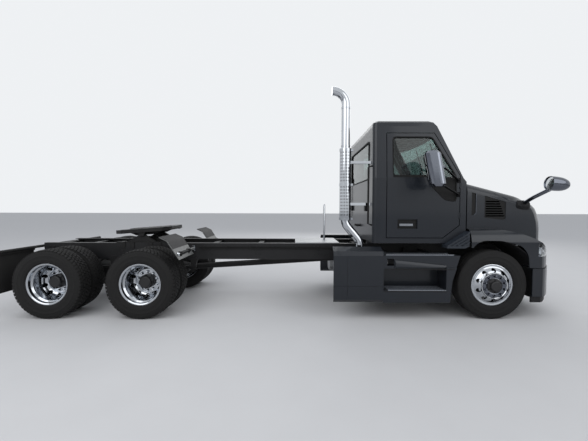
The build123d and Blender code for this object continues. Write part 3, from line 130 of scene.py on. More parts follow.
def cover(tree, mask, values):
    """Lay other values over the shader's own where the mask is 1."""
    shader = tree.nodes["Principled BSDF"]
    for name, value in values.items():
        socket = shader.inputs[name]
        below = socket.links[0].from_socket if socket.links else socket.default_value
        tree.links.new(blend(tree, mask, below, value), socket)


def hub_material(name, x, drum_y):
    """Polished disc wheel whose hub and brake drum, told by their place on the axle, are dark castings."""
    mat = surface(name, METAL_DARK, METAL_LIGHT, 0.13, metal=1.0, spread=0.05, scale=8)
    tree = mat.node_tree
    place = axes(tree, "Object")
    along = calculate(tree, "SUBTRACT", place["X"], x)
    up = calculate(tree, "SUBTRACT", place["Z"], AXLE_Z)
    squares = [calculate(tree, "MULTIPLY", way, way) for way in (along, up)]
    radius = calculate(tree, "SQRT", calculate(tree, "ADD", *squares))
    inboard = calculate(tree, "LESS_THAN", calculate(tree, "ABSOLUTE", place["Y"]), drum_y)
    hub_radius, drum_extra = 0.1065, 0.102
    reach = calculate(tree, "ADD", calculate(tree, "MULTIPLY", inboard, drum_extra), hub_radius)
    cover(tree, calculate(tree, "LESS_THAN", radius, reach),
          {"Base Color": (0.02, 0.02, 0.021, 1), "Roughness": 0.5, "Metallic": 0.3})
    return mat


def mirror_material():
    """Bright mirror shell outboard, its chrome dimmed and tinted blue-grey as a painted sky reflection, black
    arms inboard.
    """
    # Painted reflection: the chrome shell is dimmed and tinted blue-grey for the sky it reflects.
    mat = surface("mirror_shell", (0.19, 0.205, 0.24), (0.24, 0.255, 0.29), 0.12, metal=1.0, spread=0.03,
                  scale=5)
    tree = mat.node_tree
    arm_end_y = 1.262
    inner = calculate(tree, "LESS_THAN", calculate(tree, "ABSOLUTE", axes(tree, "Object")["Y"]), arm_end_y)
    cover(tree, inner, {"Base Color": (0.008, 0.008, 0.009, 1)})
    return mat


def glass(name, tint, bend=1.45, coat=0.0):
    """Clear or tinted glass with clean gloss."""
    mat = bpy.data.materials.new(name)
    mat.use_nodes = True
    tree = mat.node_tree
    set_inputs(tree, tree.nodes["Principled BSDF"], {
        "Base Color": (*tint, 1), "Roughness": 0.0, "IOR": bend, "Coat Weight": coat,
        "Transmission Weight": 1.0})
    return mat


METAL_DARK = (0.4, 0.42, 0.45)
METAL_LIGHT = (0.52, 0.54, 0.57)
PAINT = surface("charcoal_paint", (0.0105, 0.013, 0.0175), (0.0135, 0.0165, 0.0225), 0.34, metal=0.2,
                coat=0.3, spread=0.04, scale=1.2, bump=0.03, bump_scale=900, gloss=0.3)
FRAME_BLACK = surface("frame_black", (0.006, 0.006, 0.007), (0.013, 0.013, 0.014), 0.45, scale=6,
                      bump=0.15, bump_scale=120, gloss=0.3)
POLISHED = surface("polished_wheel", METAL_DARK, METAL_LIGHT, 0.13, metal=1.0, spread=0.05, scale=8,
                   bump=0.02, bump_scale=60)
CHROME = surface("bright_chrome", (0.46, 0.48, 0.51), (0.56, 0.58, 0.61), 0.07, metal=1.0, spread=0.03,
                 scale=5)
# Painted reflection: chrome darkened nearly to black to stand in for the dark surroundings it reflects.
REFLECTION_DARKENED_CHROME = surface("chrome_painted_dark_reflection", (0.1, 0.11, 0.13), (0.15, 0.16, 0.185), 0.09, metal=1.0,
                      spread=0.03, scale=5)
MIRROR = surface("mirror_glass", (0.6, 0.62, 0.64), (0.62, 0.64, 0.66), 0.02, metal=1.0, spread=0.005,
                 scale=2)
PROJECTOR = surface("lamp_projector", (0.3, 0.32, 0.35), (0.38, 0.4, 0.43), 0.08, metal=0.6, coat=1.0,
                    spread=0.03)
RUBBER = surface("tyre_rubber", (0.007, 0.007, 0.0075), (0.016, 0.0155, 0.015), 0.78, spread=0.1,
                 scale=9, bump=0.3, bump_scale=350, gloss=0.25)
PLASTIC = surface("black_plastic", (0.007, 0.007, 0.008), (0.012, 0.012, 0.013), 0.6, scale=12,
                  bump=0.25, bump_scale=600, gloss=0.25)
PANEL_GREY = surface("grey_plastic", (0.11, 0.114, 0.112), (0.14, 0.144, 0.142), 0.45, scale=9,
                     bump=0.2, bump_scale=500, gloss=0.35)
SPLASH_GREY = surface("splash_plastic", (0.014, 0.019, 0.027), (0.022, 0.029, 0.041), 0.4, scale=9,
                      bump=0.15, bump_scale=500, gloss=0.4)
FLAP = surface("flap_rubber", (0.009, 0.009, 0.009), (0.02, 0.0195, 0.019), 0.75, scale=7, bump=0.3,
               bump_scale=200, gloss=0.25)
CAST = surface("dark_casting", (0.008, 0.008, 0.009), (0.022, 0.0215, 0.021), 0.55, metal=0.3, scale=14,
               bump=0.4, bump_scale=90, gloss=0.3)
TREAD_PLATE = surface("tread_plate", (0.26, 0.27, 0.28), (0.36, 0.37, 0.38), 0.42, metal=1.0, scale=12)
# Painted shade: the step grip bars, the same aluminium as the tread plate, are coloured dark blue-grey for
# the shade seen through the open step tread.
SHADED_STEP_GRIP = surface("step_grip", (0.1, 0.11, 0.13), (0.18, 0.195, 0.22), 0.4, metal=0.6, scale=30,
                    bump=0.3, bump_scale=300)
TANK = surface("brushed_tank", (0.3, 0.31, 0.32), (0.4, 0.41, 0.42), 0.33, metal=1.0, scale=10,
               bump=0.1, bump_scale=60, stretch=(0.2, 6, 6))
TRIM = surface("interior_trim", (0.02, 0.02, 0.022), (0.035, 0.035, 0.037), 0.65, scale=20, bump=0.2,
               bump_scale=500, gloss=0.3)
CLOTH = surface("seat_cloth", (0.016, 0.016, 0.019), (0.04, 0.04, 0.044), 0.9, scale=120, bump=0.5,
                bump_scale=900, gloss=0.2)
LINING = surface("cab_lining", (0.01, 0.01, 0.011), (0.016, 0.016, 0.017), 0.85, scale=40, bump=0.2,
                 bump_scale=700, gloss=0.2)
SEAL = surface("seal_rubber", (0.005, 0.005, 0.005), (0.009, 0.009, 0.009), 0.65, scale=20, gloss=0.25)
GLASS = glass("screen_glass", (0.2, 0.265, 0.255))
LENS = glass("lamp_lens", (0.8, 0.83, 0.86), 1.03, 1.0)
RED_LENS = surface("red_lens", (0.25, 0.008, 0.008), (0.33, 0.012, 0.01), 0.15, coat=1.0)
AMBER_LENS = surface("amber_lens", (0.5, 0.14, 0.01), (0.6, 0.18, 0.015), 0.15, coat=1.0)

LOOKS = [
    (FRAME_BLACK, "frame_rail_left", "frame_rail_right", "crossmembers", "rear_light_bar", "air_tank"),
    (CAST, "front_axle", "front_springs", "knuckle_left", "knuckle_right", "tie_rod", "front_drive_axle",
     "rear_drive_axle", "rear_suspension", "powertrain", "fifth_wheel_base", "fifth_wheel_plate"),
    (PLASTIC, "radiator", "service_boxes", "air_dam", "fender_liners", "steering_wheel"),
    (PAINT, "fairing_left", "fairing_right", "bumper", "hood", "cab_shell", "door_left", "door_right"),
    (GLASS, "windshield", "rear_window", "door_glass_left", "door_glass_right"),
    (PANEL_GREY, "quarter_fender_left", "quarter_fender_right"),
    (CHROME, "exhaust_stack", "grille"),
    (TREAD_PLATE, "deck_plate"),
    (FLAP, "mudflaps"),
    (TANK, "fuel_tank"),
    (LENS, "headlamps"),
    (REFLECTION_DARKENED_CHROME, "hood_mirrors"),
    (SPLASH_GREY, "splash_panels"),
    (SEAL, "hood_vents"),
    (CLOTH, "seats"),
    (TRIM, "dashboard"),
    (mirror_material(), "door_mirror_left", "door_mirror_right"),
    (hub_material("steer_wheel_metal", STEER_X, STEER_HALF + 0.12), "steer_wheel_left", "steer_wheel_right"),
]
for place, x in DRIVE_X.items():
    LOOKS.append((hub_material(f"{place}_drive_wheel_metal", x, DRIVE_HALF - 0.04),
                  f"{place}_drive_wheel_left", f"{place}_drive_wheel_right"))
for mat, *names in LOOKS:
    for name in names:
        slots = nodes[name].data.materials
        for index in range(len(slots)):
            slots[index] = mat


# Forms

class Shape:
    """Vertices and faces gathered from several simple forms into one piece."""

    def __init__(self):
        self.verts = []
        self.faces = []

    def add(self, verts, faces):
        base = len(self.verts)
        self.verts += [tuple(v) for v in verts]
        self.faces += [tuple(base + i for i in face) for face in faces]

    def loft(self, rings, start=True, end=True, loop=False, closed=True):
        """Skin a run of rings of equal count, with a face over either end unless the run is a loop."""
        count = len(rings[0])
        faces = []
        for k in range(len(rings) if loop else len(rings) - 1):
            here, there = k * count, (k + 1) % len(rings) * count
            for i in range(count if closed else count - 1):
                n = (i + 1) % count
                faces.append((here + i, here + n, there + n, there + i))
        if start and not loop:
            faces.append(tuple(range(count))[::-1])
        if end and not loop:
            faces.append(tuple((len(rings) - 1) * count + i for i in range(count)))
        self.add([point for ring in rings for point in ring], faces)

    def lathe(self, profile, segments, origin, axis, closed=False):
        """Turn (along, radius) points about an axis."""
        along = Vector(axis).normalized()
        across = along.orthogonal().normalized()
        third = along.cross(across)
        rings = []
        for k in range(segments):
            angle = 2 * pi * k / segments
            out = across * cos(angle) + third * sin(angle)
            rings.append([Vector(origin) + along * a + out * r for a, r in profile])
        self.loft(rings, loop=True, closed=closed)

    def band(self, half_width, radius, segments, origin, axis):
        """A thin strap all round a pipe or a tank."""
        outer = radius + 0.003
        section = [(-half_width, radius), (half_width, radius), (half_width, outer), (-half_width, outer)]
        self.lathe(section, segments, origin, axis, closed=True)

    def box(self, low, high, chamfer=0.0):
        """A block whose edges are cut back round its top and its bottom."""
        (x0, y0, z0), (x1, y1, z1) = low, high
        c = chamfer
        levels = [(z0, c), (z0 + c, 0), (z1 - c, 0), (z1, c)] if c else [(z0, 0), (z1, 0)]
        self.loft([[(x0 + d, y0 + d, z), (x1 - d, y0 + d, z), (x1 - d, y1 - d, z), (x0 + d, y1 - d, z)]
                   for z, d in levels])

    def slab(self, low, high, chamfer):
        """A block between two corners in any order, with all its edges cut back."""
        lows = [min(a, b) for a, b in zip(low, high)]
        highs = [max(a, b) for a, b in zip(low, high)]
        work = bmesh.new()
        bmesh.ops.create_cube(work, size=1.0)
        for vert in work.verts:
            vert.co = [lo if c < 0 else hi for c, lo, hi in zip(vert.co, lows, highs)]
        bmesh.ops.bevel(work, geom=list(work.edges), offset=chamfer, segments=2, affect="EDGES")
        work.verts.index_update()
        faces = [[vert.index for vert in face.verts] for face in work.faces]
        self.add([vert.co for vert in work.verts], faces)
        work.free()

    def tube(self, points, radius, sides=8, close=False):
        """A round tube along a run of points."""
        points = [Vector(p) for p in points]
        angles = [2 * pi * k / sides for k in range(sides)]
        rings = []
        up = None
        for i, point in enumerate(points):
            before = points[i - 1] if close or i else point
            after = points[(i + 1) % len(points)] if close or i < len(points) - 1 else point
            ahead = (after - before).normalized()
            up = (ahead.orthogonal() if up is None else up - ahead * up.dot(ahead)).normalized()
            third = ahead.cross(up)
            rings.append([point + up * (radius * cos(a)) + third * (radius * sin(a)) for a in angles])
        self.loft(rings, loop=close)

    def beam(self, start, end, width, height):
        """A rectangular bar between two points, width lying level and height across it."""
        start, end = Vector(start), Vector(end)
        ahead = (end - start).normalized()
        level = Vector((0, 0, 1)).cross(ahead)
        level = (level if level.length > 0.01 else Vector((0, 1, 0))).normalized() * width / 2
        rise = ahead.cross(level).normalized() * height / 2
        corners = (-level - rise, level - rise, level + rise, rise - level)
        self.loft([[point + corner for corner in corners] for point in (start, end)])

    def beam_row(self, count, x, pitch, low, high, width, height, lean=0.0):
        """Bars between two (y, z) places, repeated along X."""
        for k in range(count):
            start = x + pitch * k
            self.beam((start, *low), (start + lean, *high), width, height)

    def strap(self, points, width, thick):
        """A flat band along a run of points in a plane across X."""
        points = [Vector(p) for p in points]
        half = Vector((width / 2, 0, 0))
        rings = []
        for i, point in enumerate(points):
            ahead = (points[min(i + 1, len(points) - 1)] - points[max(i - 1, 0)]).normalized()
            out = ahead.cross(Vector((1, 0, 0))).normalized() * thick
            rings.append([point - half, point + half, point + half + out, point - half + out])
        self.loft(rings, start=False, end=False)

    def piece(self, name, body, mat, slot, sharp=35):
        """Make one object of what is gathered, riding on a body, and start afresh."""
        mesh = bpy.data.meshes.new(name)
        mesh.from_pydata(self.verts, [], self.faces)
        work = bmesh.new()
        work.from_mesh(mesh)
        bmesh.ops.recalc_face_normals(work, faces=work.faces)
        work.to_mesh(mesh)
        work.free()
        mesh.shade_smooth()
        mesh.set_sharp_from_angle(angle=radians(sharp))
        mesh.materials.append(mat)
        obj = bpy.data.objects.new(name, mesh)
        bpy.context.scene.collection.objects.link(obj)
        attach(obj, body)
        self.verts, self.faces = [], []
        return obj


def rounded(points, radius, steps=5):
    """Corner points of a closed outline replaced by short arcs."""
    run = []
    for i, point in enumerate(points):
        corner = Vector(point)
        before = (Vector(points[i - 1]) - corner).normalized()
        after = (Vector(points[(i + 1) % len(points)]) - corner).normalized()
        for k in range(steps + 1):
            t = k / steps
            run.append(corner + before * radius * (1 - t) ** 2 + after * radius * t ** 2)
    return run


# Tyres

CASING = [(0.118, 0.41), (0.12, 0.384), (0.112, 0.34), (0.093, 0.29)]
SIDEWALL = [(0.105, 0.2865), (0.1065, 0.2985), (0.117, 0.3015), (0.1235, 0.306), (0.125, 0.3125),
            (0.1305, 0.3165), (0.1345, 0.3305), (0.1378, 0.352), (0.1392, 0.3535), (0.1395, 0.3575),
            (0.1388, 0.36), (0.14, 0.384), (0.1397, 0.41), (0.1402, 0.4115), (0.1398, 0.4155),
            (0.1382, 0.418), (0.136, 0.44), (0.132, 0.46)]
TREAD_HALF = 0.112
LUG_COUNT = 58
LUG_PITCH = 2 * pi / LUG_COUNT
LUG_ROWS = ((-0.127, -0.078, 0.0), (-0.069, -0.0265, 0.5), (-0.0185, 0.0185, 0.0), (0.0265, 0.069, 0.5),
            (0.078, 0.127, 0.0))


def tyre_section(tread, roof):
    """Closed section of (along, radius) points from the tread and the inner height of the casing."""
    inside = [(0.104, roof)] + CASING
    left = [(-a, r) for a, r in SIDEWALL]
    return left + tread + SIDEWALL[::-1] + inside[::-1] + [(-a, r) for a, r in inside]


def crown(along):
    """Height of the tread's arc at a distance from the middle."""
    return TYRE_RADIUS - 0.005 * (along / TREAD_HALF) ** 2


def steer_section():
    """A ribbed tyre with four grooves."""
    shoulder = [(0.128, 0.476), (0.122, 0.488), (TREAD_HALF, crown(TREAD_HALF))]
    tread = [(-a, r) for a, r in shoulder]
    for middle in (-0.072, -0.026, 0.026, 0.072):
        for along, depth in ((-0.0062, 0), (-0.0042, 0.014), (0.0042, 0.014), (0.0062, 0)):
            tread.append((middle + along, crown(middle) - depth))
    return tyre_section(tread + shoulder[::-1], 0.464)


def drive_section():
    """A lug tyre at the floor of its tread."""
    half_floor = [(0.127, 0.47), (TREAD_HALF, 0.4805), (0.06, 0.4835)]
    floor = [(-a, r) for a, r in half_floor] + [(0, 0.4845)] + half_floor[::-1]
    return tyre_section(floor, 0.458)


def wrapped(x, y, angle, along, radius):
    """A point on a tyre from its angle, its distance from the middle and its radius."""
    return (x + radius * sin(angle), y + along, AXLE_Z + radius * cos(angle))


def lug_ring(x, y, middle, ends, inset, lift):
    """The corners of a tread block at a share of its height, drawn in by an inset."""
    slant = 0.08 * LUG_PITCH * (1 if sum(ends) >= 0 else -1)
    ring = []
    for way, turn, along in ((1, -1, ends[0]), (-1, -1, ends[0]), (-1, 1, ends[1]), (1, 1, ends[1])):
        base, top = (0.464, 0.4905) if abs(along) > 0.12 else (0.479, crown(along))
        angle = middle + way * (inset / TYRE_RADIUS - 0.4 * LUG_PITCH) + turn * slant
        ring.append(wrapped(x, y, angle, along - turn * inset, base + (top - base) * lift))
    return ring


def add_lugs(shape, x, y):
    """Rows of tread blocks, each row turned half a pitch from its neighbour."""
    levels = ((0.0, 0.0), (0.0, 0.7), (0.0012, 1.0))
    for low, high, phase in LUG_ROWS:
        for k in range(LUG_COUNT):
            middle = (k + phase + 0.5) * LUG_PITCH
            shape.loft([lug_ring(x, y, middle, (low, high), inset, lift) for inset, lift in levels],
                       start=False)


def add_shoulder_ribs(shape, x, y):
    """Small tie ribs round both shoulders."""
    count = 96
    half_angle = 0.006
    section = ((0.1205, 0.4901), (0.1295, 0.4781), (0.1325, 0.4626), (0.126, 0.4626))
    for sign in (-1, 1):
        for k in range(count):
            angle = 2 * pi * k / count
            shape.loft([[wrapped(x, y, angle + turn, sign * a, r) for a, r in section]
                        for turn in (-half_angle, half_angle)], closed=False)


def make_tyres():
    shape = Shape()
    for side, sign in SIDES:
        y = sign * STEER_HALF
        shape.lathe(steer_section(), 144, (STEER_X, y, AXLE_Z), (0, 1, 0), closed=True)
        add_shoulder_ribs(shape, STEER_X, y)
        tyre = shape.piece(f"steer_tyre_tread_{side}", f"steer_wheel_{side}", RUBBER, "tyre", 28)
        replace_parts(tyre, f"steer_tyre_{side}")
        for place, x in DRIVE_X.items():
            for offset in (-DUAL_HALF, DUAL_HALF):
                y = sign * DRIVE_HALF + offset
                shape.lathe(drive_section(), 116, (x, y, AXLE_Z), (0, 1, 0), closed=True)
                add_lugs(shape, x, y)
            tyre = shape.piece(f"{place}_drive_tread_{side}", f"{place}_drive_{side}", RUBBER, "tyre", 28)
            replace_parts(tyre, f"{place}_drive_tyres_{side}")


# Wheel nuts and hubs

NUT = [(0, 0.0), (0, 0.0225), (0.004, 0.0235), (0.007, 0.0195), (0.009, 0.0185), (0.034, 0.0165),
       (0.043, 0.012), (0.046, 0.0)]
BOLT = [(0, 0.0), (0, 0.011), (0.007, 0.011), (0.009, 0.009), (0.009, 0.0)]
NUT_COUNT = 10
NUT_CIRCLE = 0.1428


def ring_of(shape, profile, count, circle, origin, sign, sides=12):
    """Turned fittings on a circle about the axle, standing outboard."""
    x, y, z = origin
    for k in range(count):
        angle = 2 * pi * k / count
        shape.lathe(profile, sides, (x + circle * sin(angle), y, z + circle * cos(angle)), (0, sign, 0))


def make_steer_fittings(shape, side, sign):
    body = f"steer_wheel_{side}"
    face_y = STEER_HALF + DISC_OFFSET
    face = (STEER_X, sign * face_y, AXLE_Z)
    edge = [(0.0, 0.17), (0.009, 0.1715), (0.013, 0.1765), (0.012, 0.184), (0.006, 0.188), (0.0, 0.189)]
    shape.lathe(edge, 72, face, (0, sign, 0), closed=True)
    shape.piece(f"steer_ring_edge_{side}", body, MIRROR, "chrome")
    ring_of(shape, NUT, NUT_COUNT, NUT_CIRCLE, face, sign)
    dish = [(-0.001, 0.112), (0.004, 0.114), (0.0065, 0.12), (0.006, 0.168), (-0.001, 0.171)]
    shape.lathe(dish, 72, face, (0, sign, 0))
    shape.piece(f"steer_nuts_{side}", body, REFLECTION_DARKENED_CHROME, "chrome")
    ring_of(shape, BOLT, 6, 0.087, (STEER_X, sign * (face_y + 0.0195), AXLE_Z), sign, 6)
    shape.piece(f"steer_hub_bolts_{side}", body, CAST, "cast_dark")


def make_drive_fittings(shape, place, x, side, sign):
    body = f"{place}_drive_{side}"
    face_y = DRIVE_HALF + 0.022
    ring_of(shape, NUT, NUT_COUNT, NUT_CIRCLE, (x, sign * face_y, AXLE_Z), sign)
    shape.piece(f"{place}_drive_nuts_{side}", body, CHROME, "chrome")
    ring_of(shape, BOLT, 8, 0.0965, (x, sign * (face_y + 0.0695), AXLE_Z), sign, 6)
    shape.piece(f"{place}_axle_studs_{side}", body, CAST, "cast_dark")


def make_wheel_fittings():
    shape = Shape()
    for side, sign in SIDES:
        make_steer_fittings(shape, side, sign)
        for place, x in DRIVE_X.items():
            make_drive_fittings(shape, place, x, side, sign)


# Surfaces of the cab and the nose, worked out as the CAD source does

def above_belt(z):
    """Share of the height from the cab's belt to its roof."""
    return (z - BELT_Z) / 0.755


def cab_half(z):
    """Half width of the cab at a height."""
    return CAB_HALF - 0.052 * max(0.0, above_belt(z))


def on_screen(y, z, stand):
    """A point that stands off the front face of the cab above its belt."""
    pillar = CAB_FRONT_X - 0.045 - 0.375 * above_belt(z)
    return (pillar + 0.14 * (1 - (y / cab_half(z)) ** 2) + stand, y, z)


def on_nose(y, z, stand):
    """A point that stands off the hood's nose face around the grille."""
    lean = 0.01 * max(0.0, z - 1.28) / 0.12 if z < 1.4 else 0.01 + 0.03 * (z - 1.4) / 0.12
    arc = 1.4008
    return (FRONT_X - 0.075 - lean - (arc - sqrt(arc * arc - y * y)) + stand, y, z)


def bumper_x(y):
    """Outer face of the bumper away from its corners."""
    arc = 1.56
    return FRONT_X - arc + sqrt(arc * arc - y * y)


# Steps and fairings

UPPER_Z = 0.9345
LOWER_Z = 0.4345


def make_step_grips(shape, side, sign):
    """Grip bars on both steps of a fairing, darkened as painted shade, with toothed edges."""
    shape.beam_row(19, 1.385, 0.047, (sign * 1.02, UPPER_Z), (sign * 1.195, UPPER_Z), 0.012, 0.011, 0.05)
    for y in (1.012, 1.2):
        shape.beam((1.365, sign * y, UPPER_Z), (2.325, sign * y, UPPER_Z), 0.012, 0.011)
    for row in range(6):
        y = sign * (0.985 + 0.0455 * row)
        shape.beam((1.4, y, LOWER_Z), (2.2, y, LOWER_Z), 0.007, 0.012)
        shape.beam_row(52, 1.402, 0.0154, (y, 0.443), (y, 0.443), 0.0065, 0.008, 0.0075)
    shape.beam_row(16, 1.405, 0.0528, (sign * 0.98, 0.433), (sign * 1.216, 0.433), 0.006, 0.007)
    shape.piece(f"step_grips_{side}", "chassis", SHADED_STEP_GRIP, "tread_plate")
    upper, lower = (sign * 1.2, 0.9435), (sign * 1.219, 0.436)
    shape.beam_row(40, 1.372, 0.0242, upper, upper, 0.011, 0.009, 0.009)
    shape.beam_row(34, 1.4, 0.0244, lower, lower, 0.007, 0.013, 0.01)
    for row in range(3):
        y = 1.03 + 0.062 * row
        for k in range(17):
            x = 1.42 + 0.047 * k + 0.012 * row
            shape.slab((x, sign * y, 0.4405), (x + 0.012, sign * (y + 0.008), 0.4475), 0.002)
    shape.piece(f"step_teeth_{side}", "chassis", POLISHED, "polished_aluminium")


def make_fairing_trim(shape, side, sign):
    """Black strips under the steps as painted shade, the ridge between them and the ribs of the splash panel.
    """
    # Painted shade: black strips just under the step edges, where the overhang shades the skin.
    for z, low, high in ((0.7335, 1.36, 2.33), (0.4175, 1.345, 2.23)):
        shape.beam((low, sign * 1.2165, z), (high, sign * 1.2165, z), 0.012, 0.01)
    shape.piece(f"step_painted_shade_{side}", "chassis", PLASTIC, "black_plastic")
    outline = [(1.49, 0.755), (2.215, 0.755), (2.215, 0.79), (1.49, 0.865)]
    raised = [(1.502, 0.763), (2.205, 0.763), (2.205, 0.772), (1.502, 0.825)]
    layers = ((1.2195, outline), (1.2335, raised))
    shape.loft([[(x, sign * y, z) for x, z in points] for y, points in layers], start=False)
    shape.piece(f"fairing_ridge_{side}", "chassis", PAINT, "body_paint")
    ribs = ((2.24, 1.062, 2.54, 1.245), (2.31, 1.06, 2.55, 1.205), (2.38, 1.058, 2.555, 1.165),
            (2.45, 1.056, 2.557, 1.12))
    for x0, z0, x1, z1 in ribs:
        shape.beam((x0, sign * 1.191, z0), (x1, sign * 1.191, z1), 0.006, 0.012)
    shape.piece(f"splash_ribs_{side}", "chassis", SPLASH_GREY, "black_plastic")


def make_steps():
    shape = Shape()
    for side, sign in SIDES:
        make_step_grips(shape, side, sign)
        make_fairing_trim(shape, side, sign)


# Glass seals, doors and cab trim

WINDOW_BACK = CAB_BACK_X + 0.29
WINDOW_STEP = CAB_FRONT_X - 0.56
WINDOW = [(WINDOW_BACK, 2.074), (WINDOW_STEP, 2.074), (CAB_FRONT_X - 0.5, 1.92),
          (CAB_FRONT_X - 0.31, 1.724), (CAB_FRONT_X - 0.15, 1.7), (CAB_FRONT_X - 0.15, 2.06),
          (CAB_FRONT_X - 0.496, 2.635), (WINDOW_BACK, 2.635)]
SAIL = [(2.018, 2.05), (2.068, 1.926), (2.254, 1.734), (2.402, 1.711), (2.402, 2.05)]


def make_seals():
    shape = Shape()
    for side, sign in SIDES:
        body = f"door_{side}"
        loop = [(p.x, sign * (cab_half(p.y) - 0.004), p.y) for p in rounded(WINDOW, 0.05)]
        shape.tube(loop, 0.0115, close=True)
        shape.piece(f"window_seal_{side}", body, SEAL, "black_plastic")
        strip_z = 2.06
        belt = [(x, sign * (cab_half(strip_z) + 0.001), strip_z) for x in (WINDOW_BACK, WINDOW_STEP)]
        shape.beam(*belt, 0.008, 0.022)
        shape.piece(f"belt_strip_{side}", body, SEAL, "black_plastic")
        shape.loft([[(x, sign * (cab_half(z) - d), z) for x, z in SAIL] for d in (0.006, 0.011)])
        shape.piece(f"window_sail_{side}", body, SEAL, "black_plastic")
    edge = []
    for z, start in ((2.108, -0.89), (2.732, 0.89)):
        edge += [on_screen(start * (1 - k / 12), z, 0.001) for k in range(25)]
    shape.tube(edge, 0.013, close=True)
    shape.piece("windshield_seal", "chassis", SEAL, "black_plastic")
    back = rounded([(-0.755, 2.045), (0.755, 2.045), (0.755, 2.615), (-0.755, 2.615)], 0.06)
    shape.tube([(CAB_BACK_X + 0.002, p.x, p.y) for p in back], 0.013, close=True)
    shape.piece("rear_window_seal", "chassis", SEAL, "black_plastic")


def make_door_trim():
    """Handles, lock covers and inner panels that swing with the doors."""
    shape = Shape()
    handle_x = CAB_BACK_X + 0.36
    low_x, high_x = CAB_BACK_X + 0.24, CAB_FRONT_X - 0.36
    lock = [(0, 0.0), (0, 0.013), (0.005, 0.012), (0.006, 0.0)]
    for side, sign in SIDES:
        body = f"door_{side}"
        shape.slab((handle_x + 0.022, sign * 1.0395, 1.3385), (handle_x + 0.227, sign * 1.0605, 1.3775),
                   0.006)
        shape.piece(f"door_handle_{side}", body, CHROME, "chrome")
        shape.slab((handle_x + 0.004, sign * 1.0285, 1.304), (handle_x + 0.286, sign * 1.0325, 1.434), 0.001)
        shape.lathe(lock, 20, (handle_x + 0.258, sign * 1.032, 1.36), (0, sign, 0))
        shape.piece(f"handle_pocket_{side}", body, SEAL, "black_plastic")
        shape.slab((low_x, sign * 0.994, 1.2), (high_x, sign * 1.0085, 2.04), 0.004)
        shape.slab((low_x + 0.2, sign * 0.935, 1.62), (high_x - 0.1, sign * 0.9945, 1.67), 0.012)
        shape.slab((low_x + 0.1, sign * 0.95, 1.24), (high_x - 0.15, sign * 0.9945, 1.4), 0.01)
        shape.piece(f"door_lining_{side}", body, TRIM, "trim_grey")


def make_cab_lining():
    """Dark lining inside the roof, back wall and floor."""
    shape = Shape()
    inner_x = CAB_BACK_X + 0.06
    shape.box((inner_x, -0.93, 2.806), (CAB_FRONT_X - 0.56, 0.93, 2.818), 0.004)
    for y0, y1, z0, z1 in ((-1.0, 1.0, 1.14, 2.03), (-1.0, -0.77, 2.03, 2.79), (0.77, 1.0, 2.03, 2.79),
                           (-0.77, 0.77, 2.63, 2.79)):
        shape.box((CAB_BACK_X + 0.047, y0, z0), (CAB_BACK_X + 0.055, y1, z1))
    shape.box((inner_x, -0.99, 1.1365), (CAB_FRONT_X - 0.2, 0.99, 1.145))
    for sign in (1, -1):
        shape.slab((inner_x, sign * 0.985, 2.05), (CAB_BACK_X + 0.19, sign * 0.95, 2.72), 0.01)
    shape.piece("cab_lining", "chassis", LINING, "trim_grey")


def make_seat_details():
    """Head rests, bolsters and arm rests."""
    shape = Shape()
    x = CAB_BACK_X + 0.56
    for y in (0.52, -0.52):
        shape.slab((x - 0.305, y - 0.16, 2.2), (x - 0.225, y + 0.16, 2.38), 0.03)
        for bolster in (-0.235, 0.185):
            shape.slab((x - 0.2, y + bolster, 1.63), (x + 0.25, y + bolster + 0.05, 1.675), 0.015)
        shape.tube([(x + 0.02, y + 0.27, 1.62), (x - 0.2, y + 0.27, 1.62)], 0.02)
    shape.piece("seat_details", "chassis", CLOTH, "seat_cloth")


def make_instruments():
    shape = Shape()
    shape.slab((CAB_FRONT_X - 0.42, 0.3, 1.86), (CAB_FRONT_X - 0.3, 0.74, 2.0), 0.03)
    shape.slab((CAB_FRONT_X - 0.43, -0.2, 1.72), (CAB_FRONT_X - 0.36, 0.2, 1.9), 0.02)
    dial = [(0, 0.0), (0, 0.036), (0.012, 0.036), (0.014, 0.03), (0.006, 0.0)]
    for k in range(4):
        shape.lathe(dial, 20, (CAB_FRONT_X - 0.42, 0.36 + 0.09 * k, 1.935), (-1, 0, 0.2))
    shape.piece("instrument_cluster", "chassis", PLASTIC, "black_plastic")


def make_wipers():
    shape = Shape()
    pivot = [(0, 0.0), (0, 0.03), (0.03, 0.026), (0.036, 0.0)]
    for y in (0.16, 0.78):
        foot = on_screen(y, 2.07, 0.02)
        tip_y = y - 0.34
        shape.tube([foot, (foot[0] - 0.01, y - 0.03, 2.12), on_screen(tip_y, 2.4, 0.028)], 0.008)
        blade = [on_screen(tip_y + 0.1 - 0.025 * k, 2.13 + 0.06875 * k, 0.014) for k in range(9)]
        shape.tube(blade, 0.009, 6)
        shape.lathe(pivot, 16, (foot[0] - 0.02, y, 2.065), (0.4, 0, 1))
    shape.piece("wipers", "chassis", SEAL, "black_plastic")


def make_cowl_slats():
    """Thin slats that climb towards the foot of the windshield."""
    shape = Shape()
    for k in range(13):
        z = 1.988 + 0.0042 * k
        rings = []
        for j in range(33):
            y = 0.93 * (j / 16 - 1)
            x = CAB_FRONT_X + 0.0075 + 0.12 * (1 - (y / 1.25) ** 2) - 0.0055 * k
            rings.append([(x, y, z), (x - 0.0035, y, z + 0.004)])
        shape.loft(rings, start=False, end=False, closed=False)
    shape.piece("cowl_slats", "chassis", PLASTIC, "black_plastic")


def make_roof_lamps():
    shape = Shape()
    dome = [(-0.006, 0.0), (-0.006, 0.034), (0.004, 0.034), (0.016, 0.026), (0.022, 0.012), (0.0235, 0.0)]
    for index, y in enumerate((-0.72, -0.22, 0.0, 0.22, 0.72)):
        x = CAB_FRONT_X - 0.545 + 0.15 * (1 - (y / 0.95) ** 2)
        shape.lathe(dome, 24, (x, y, 2.876), (0.3, 0, 1))
        shape.piece(f"roof_marker_{index}", "chassis", AMBER_LENS, "lens")


# Front end

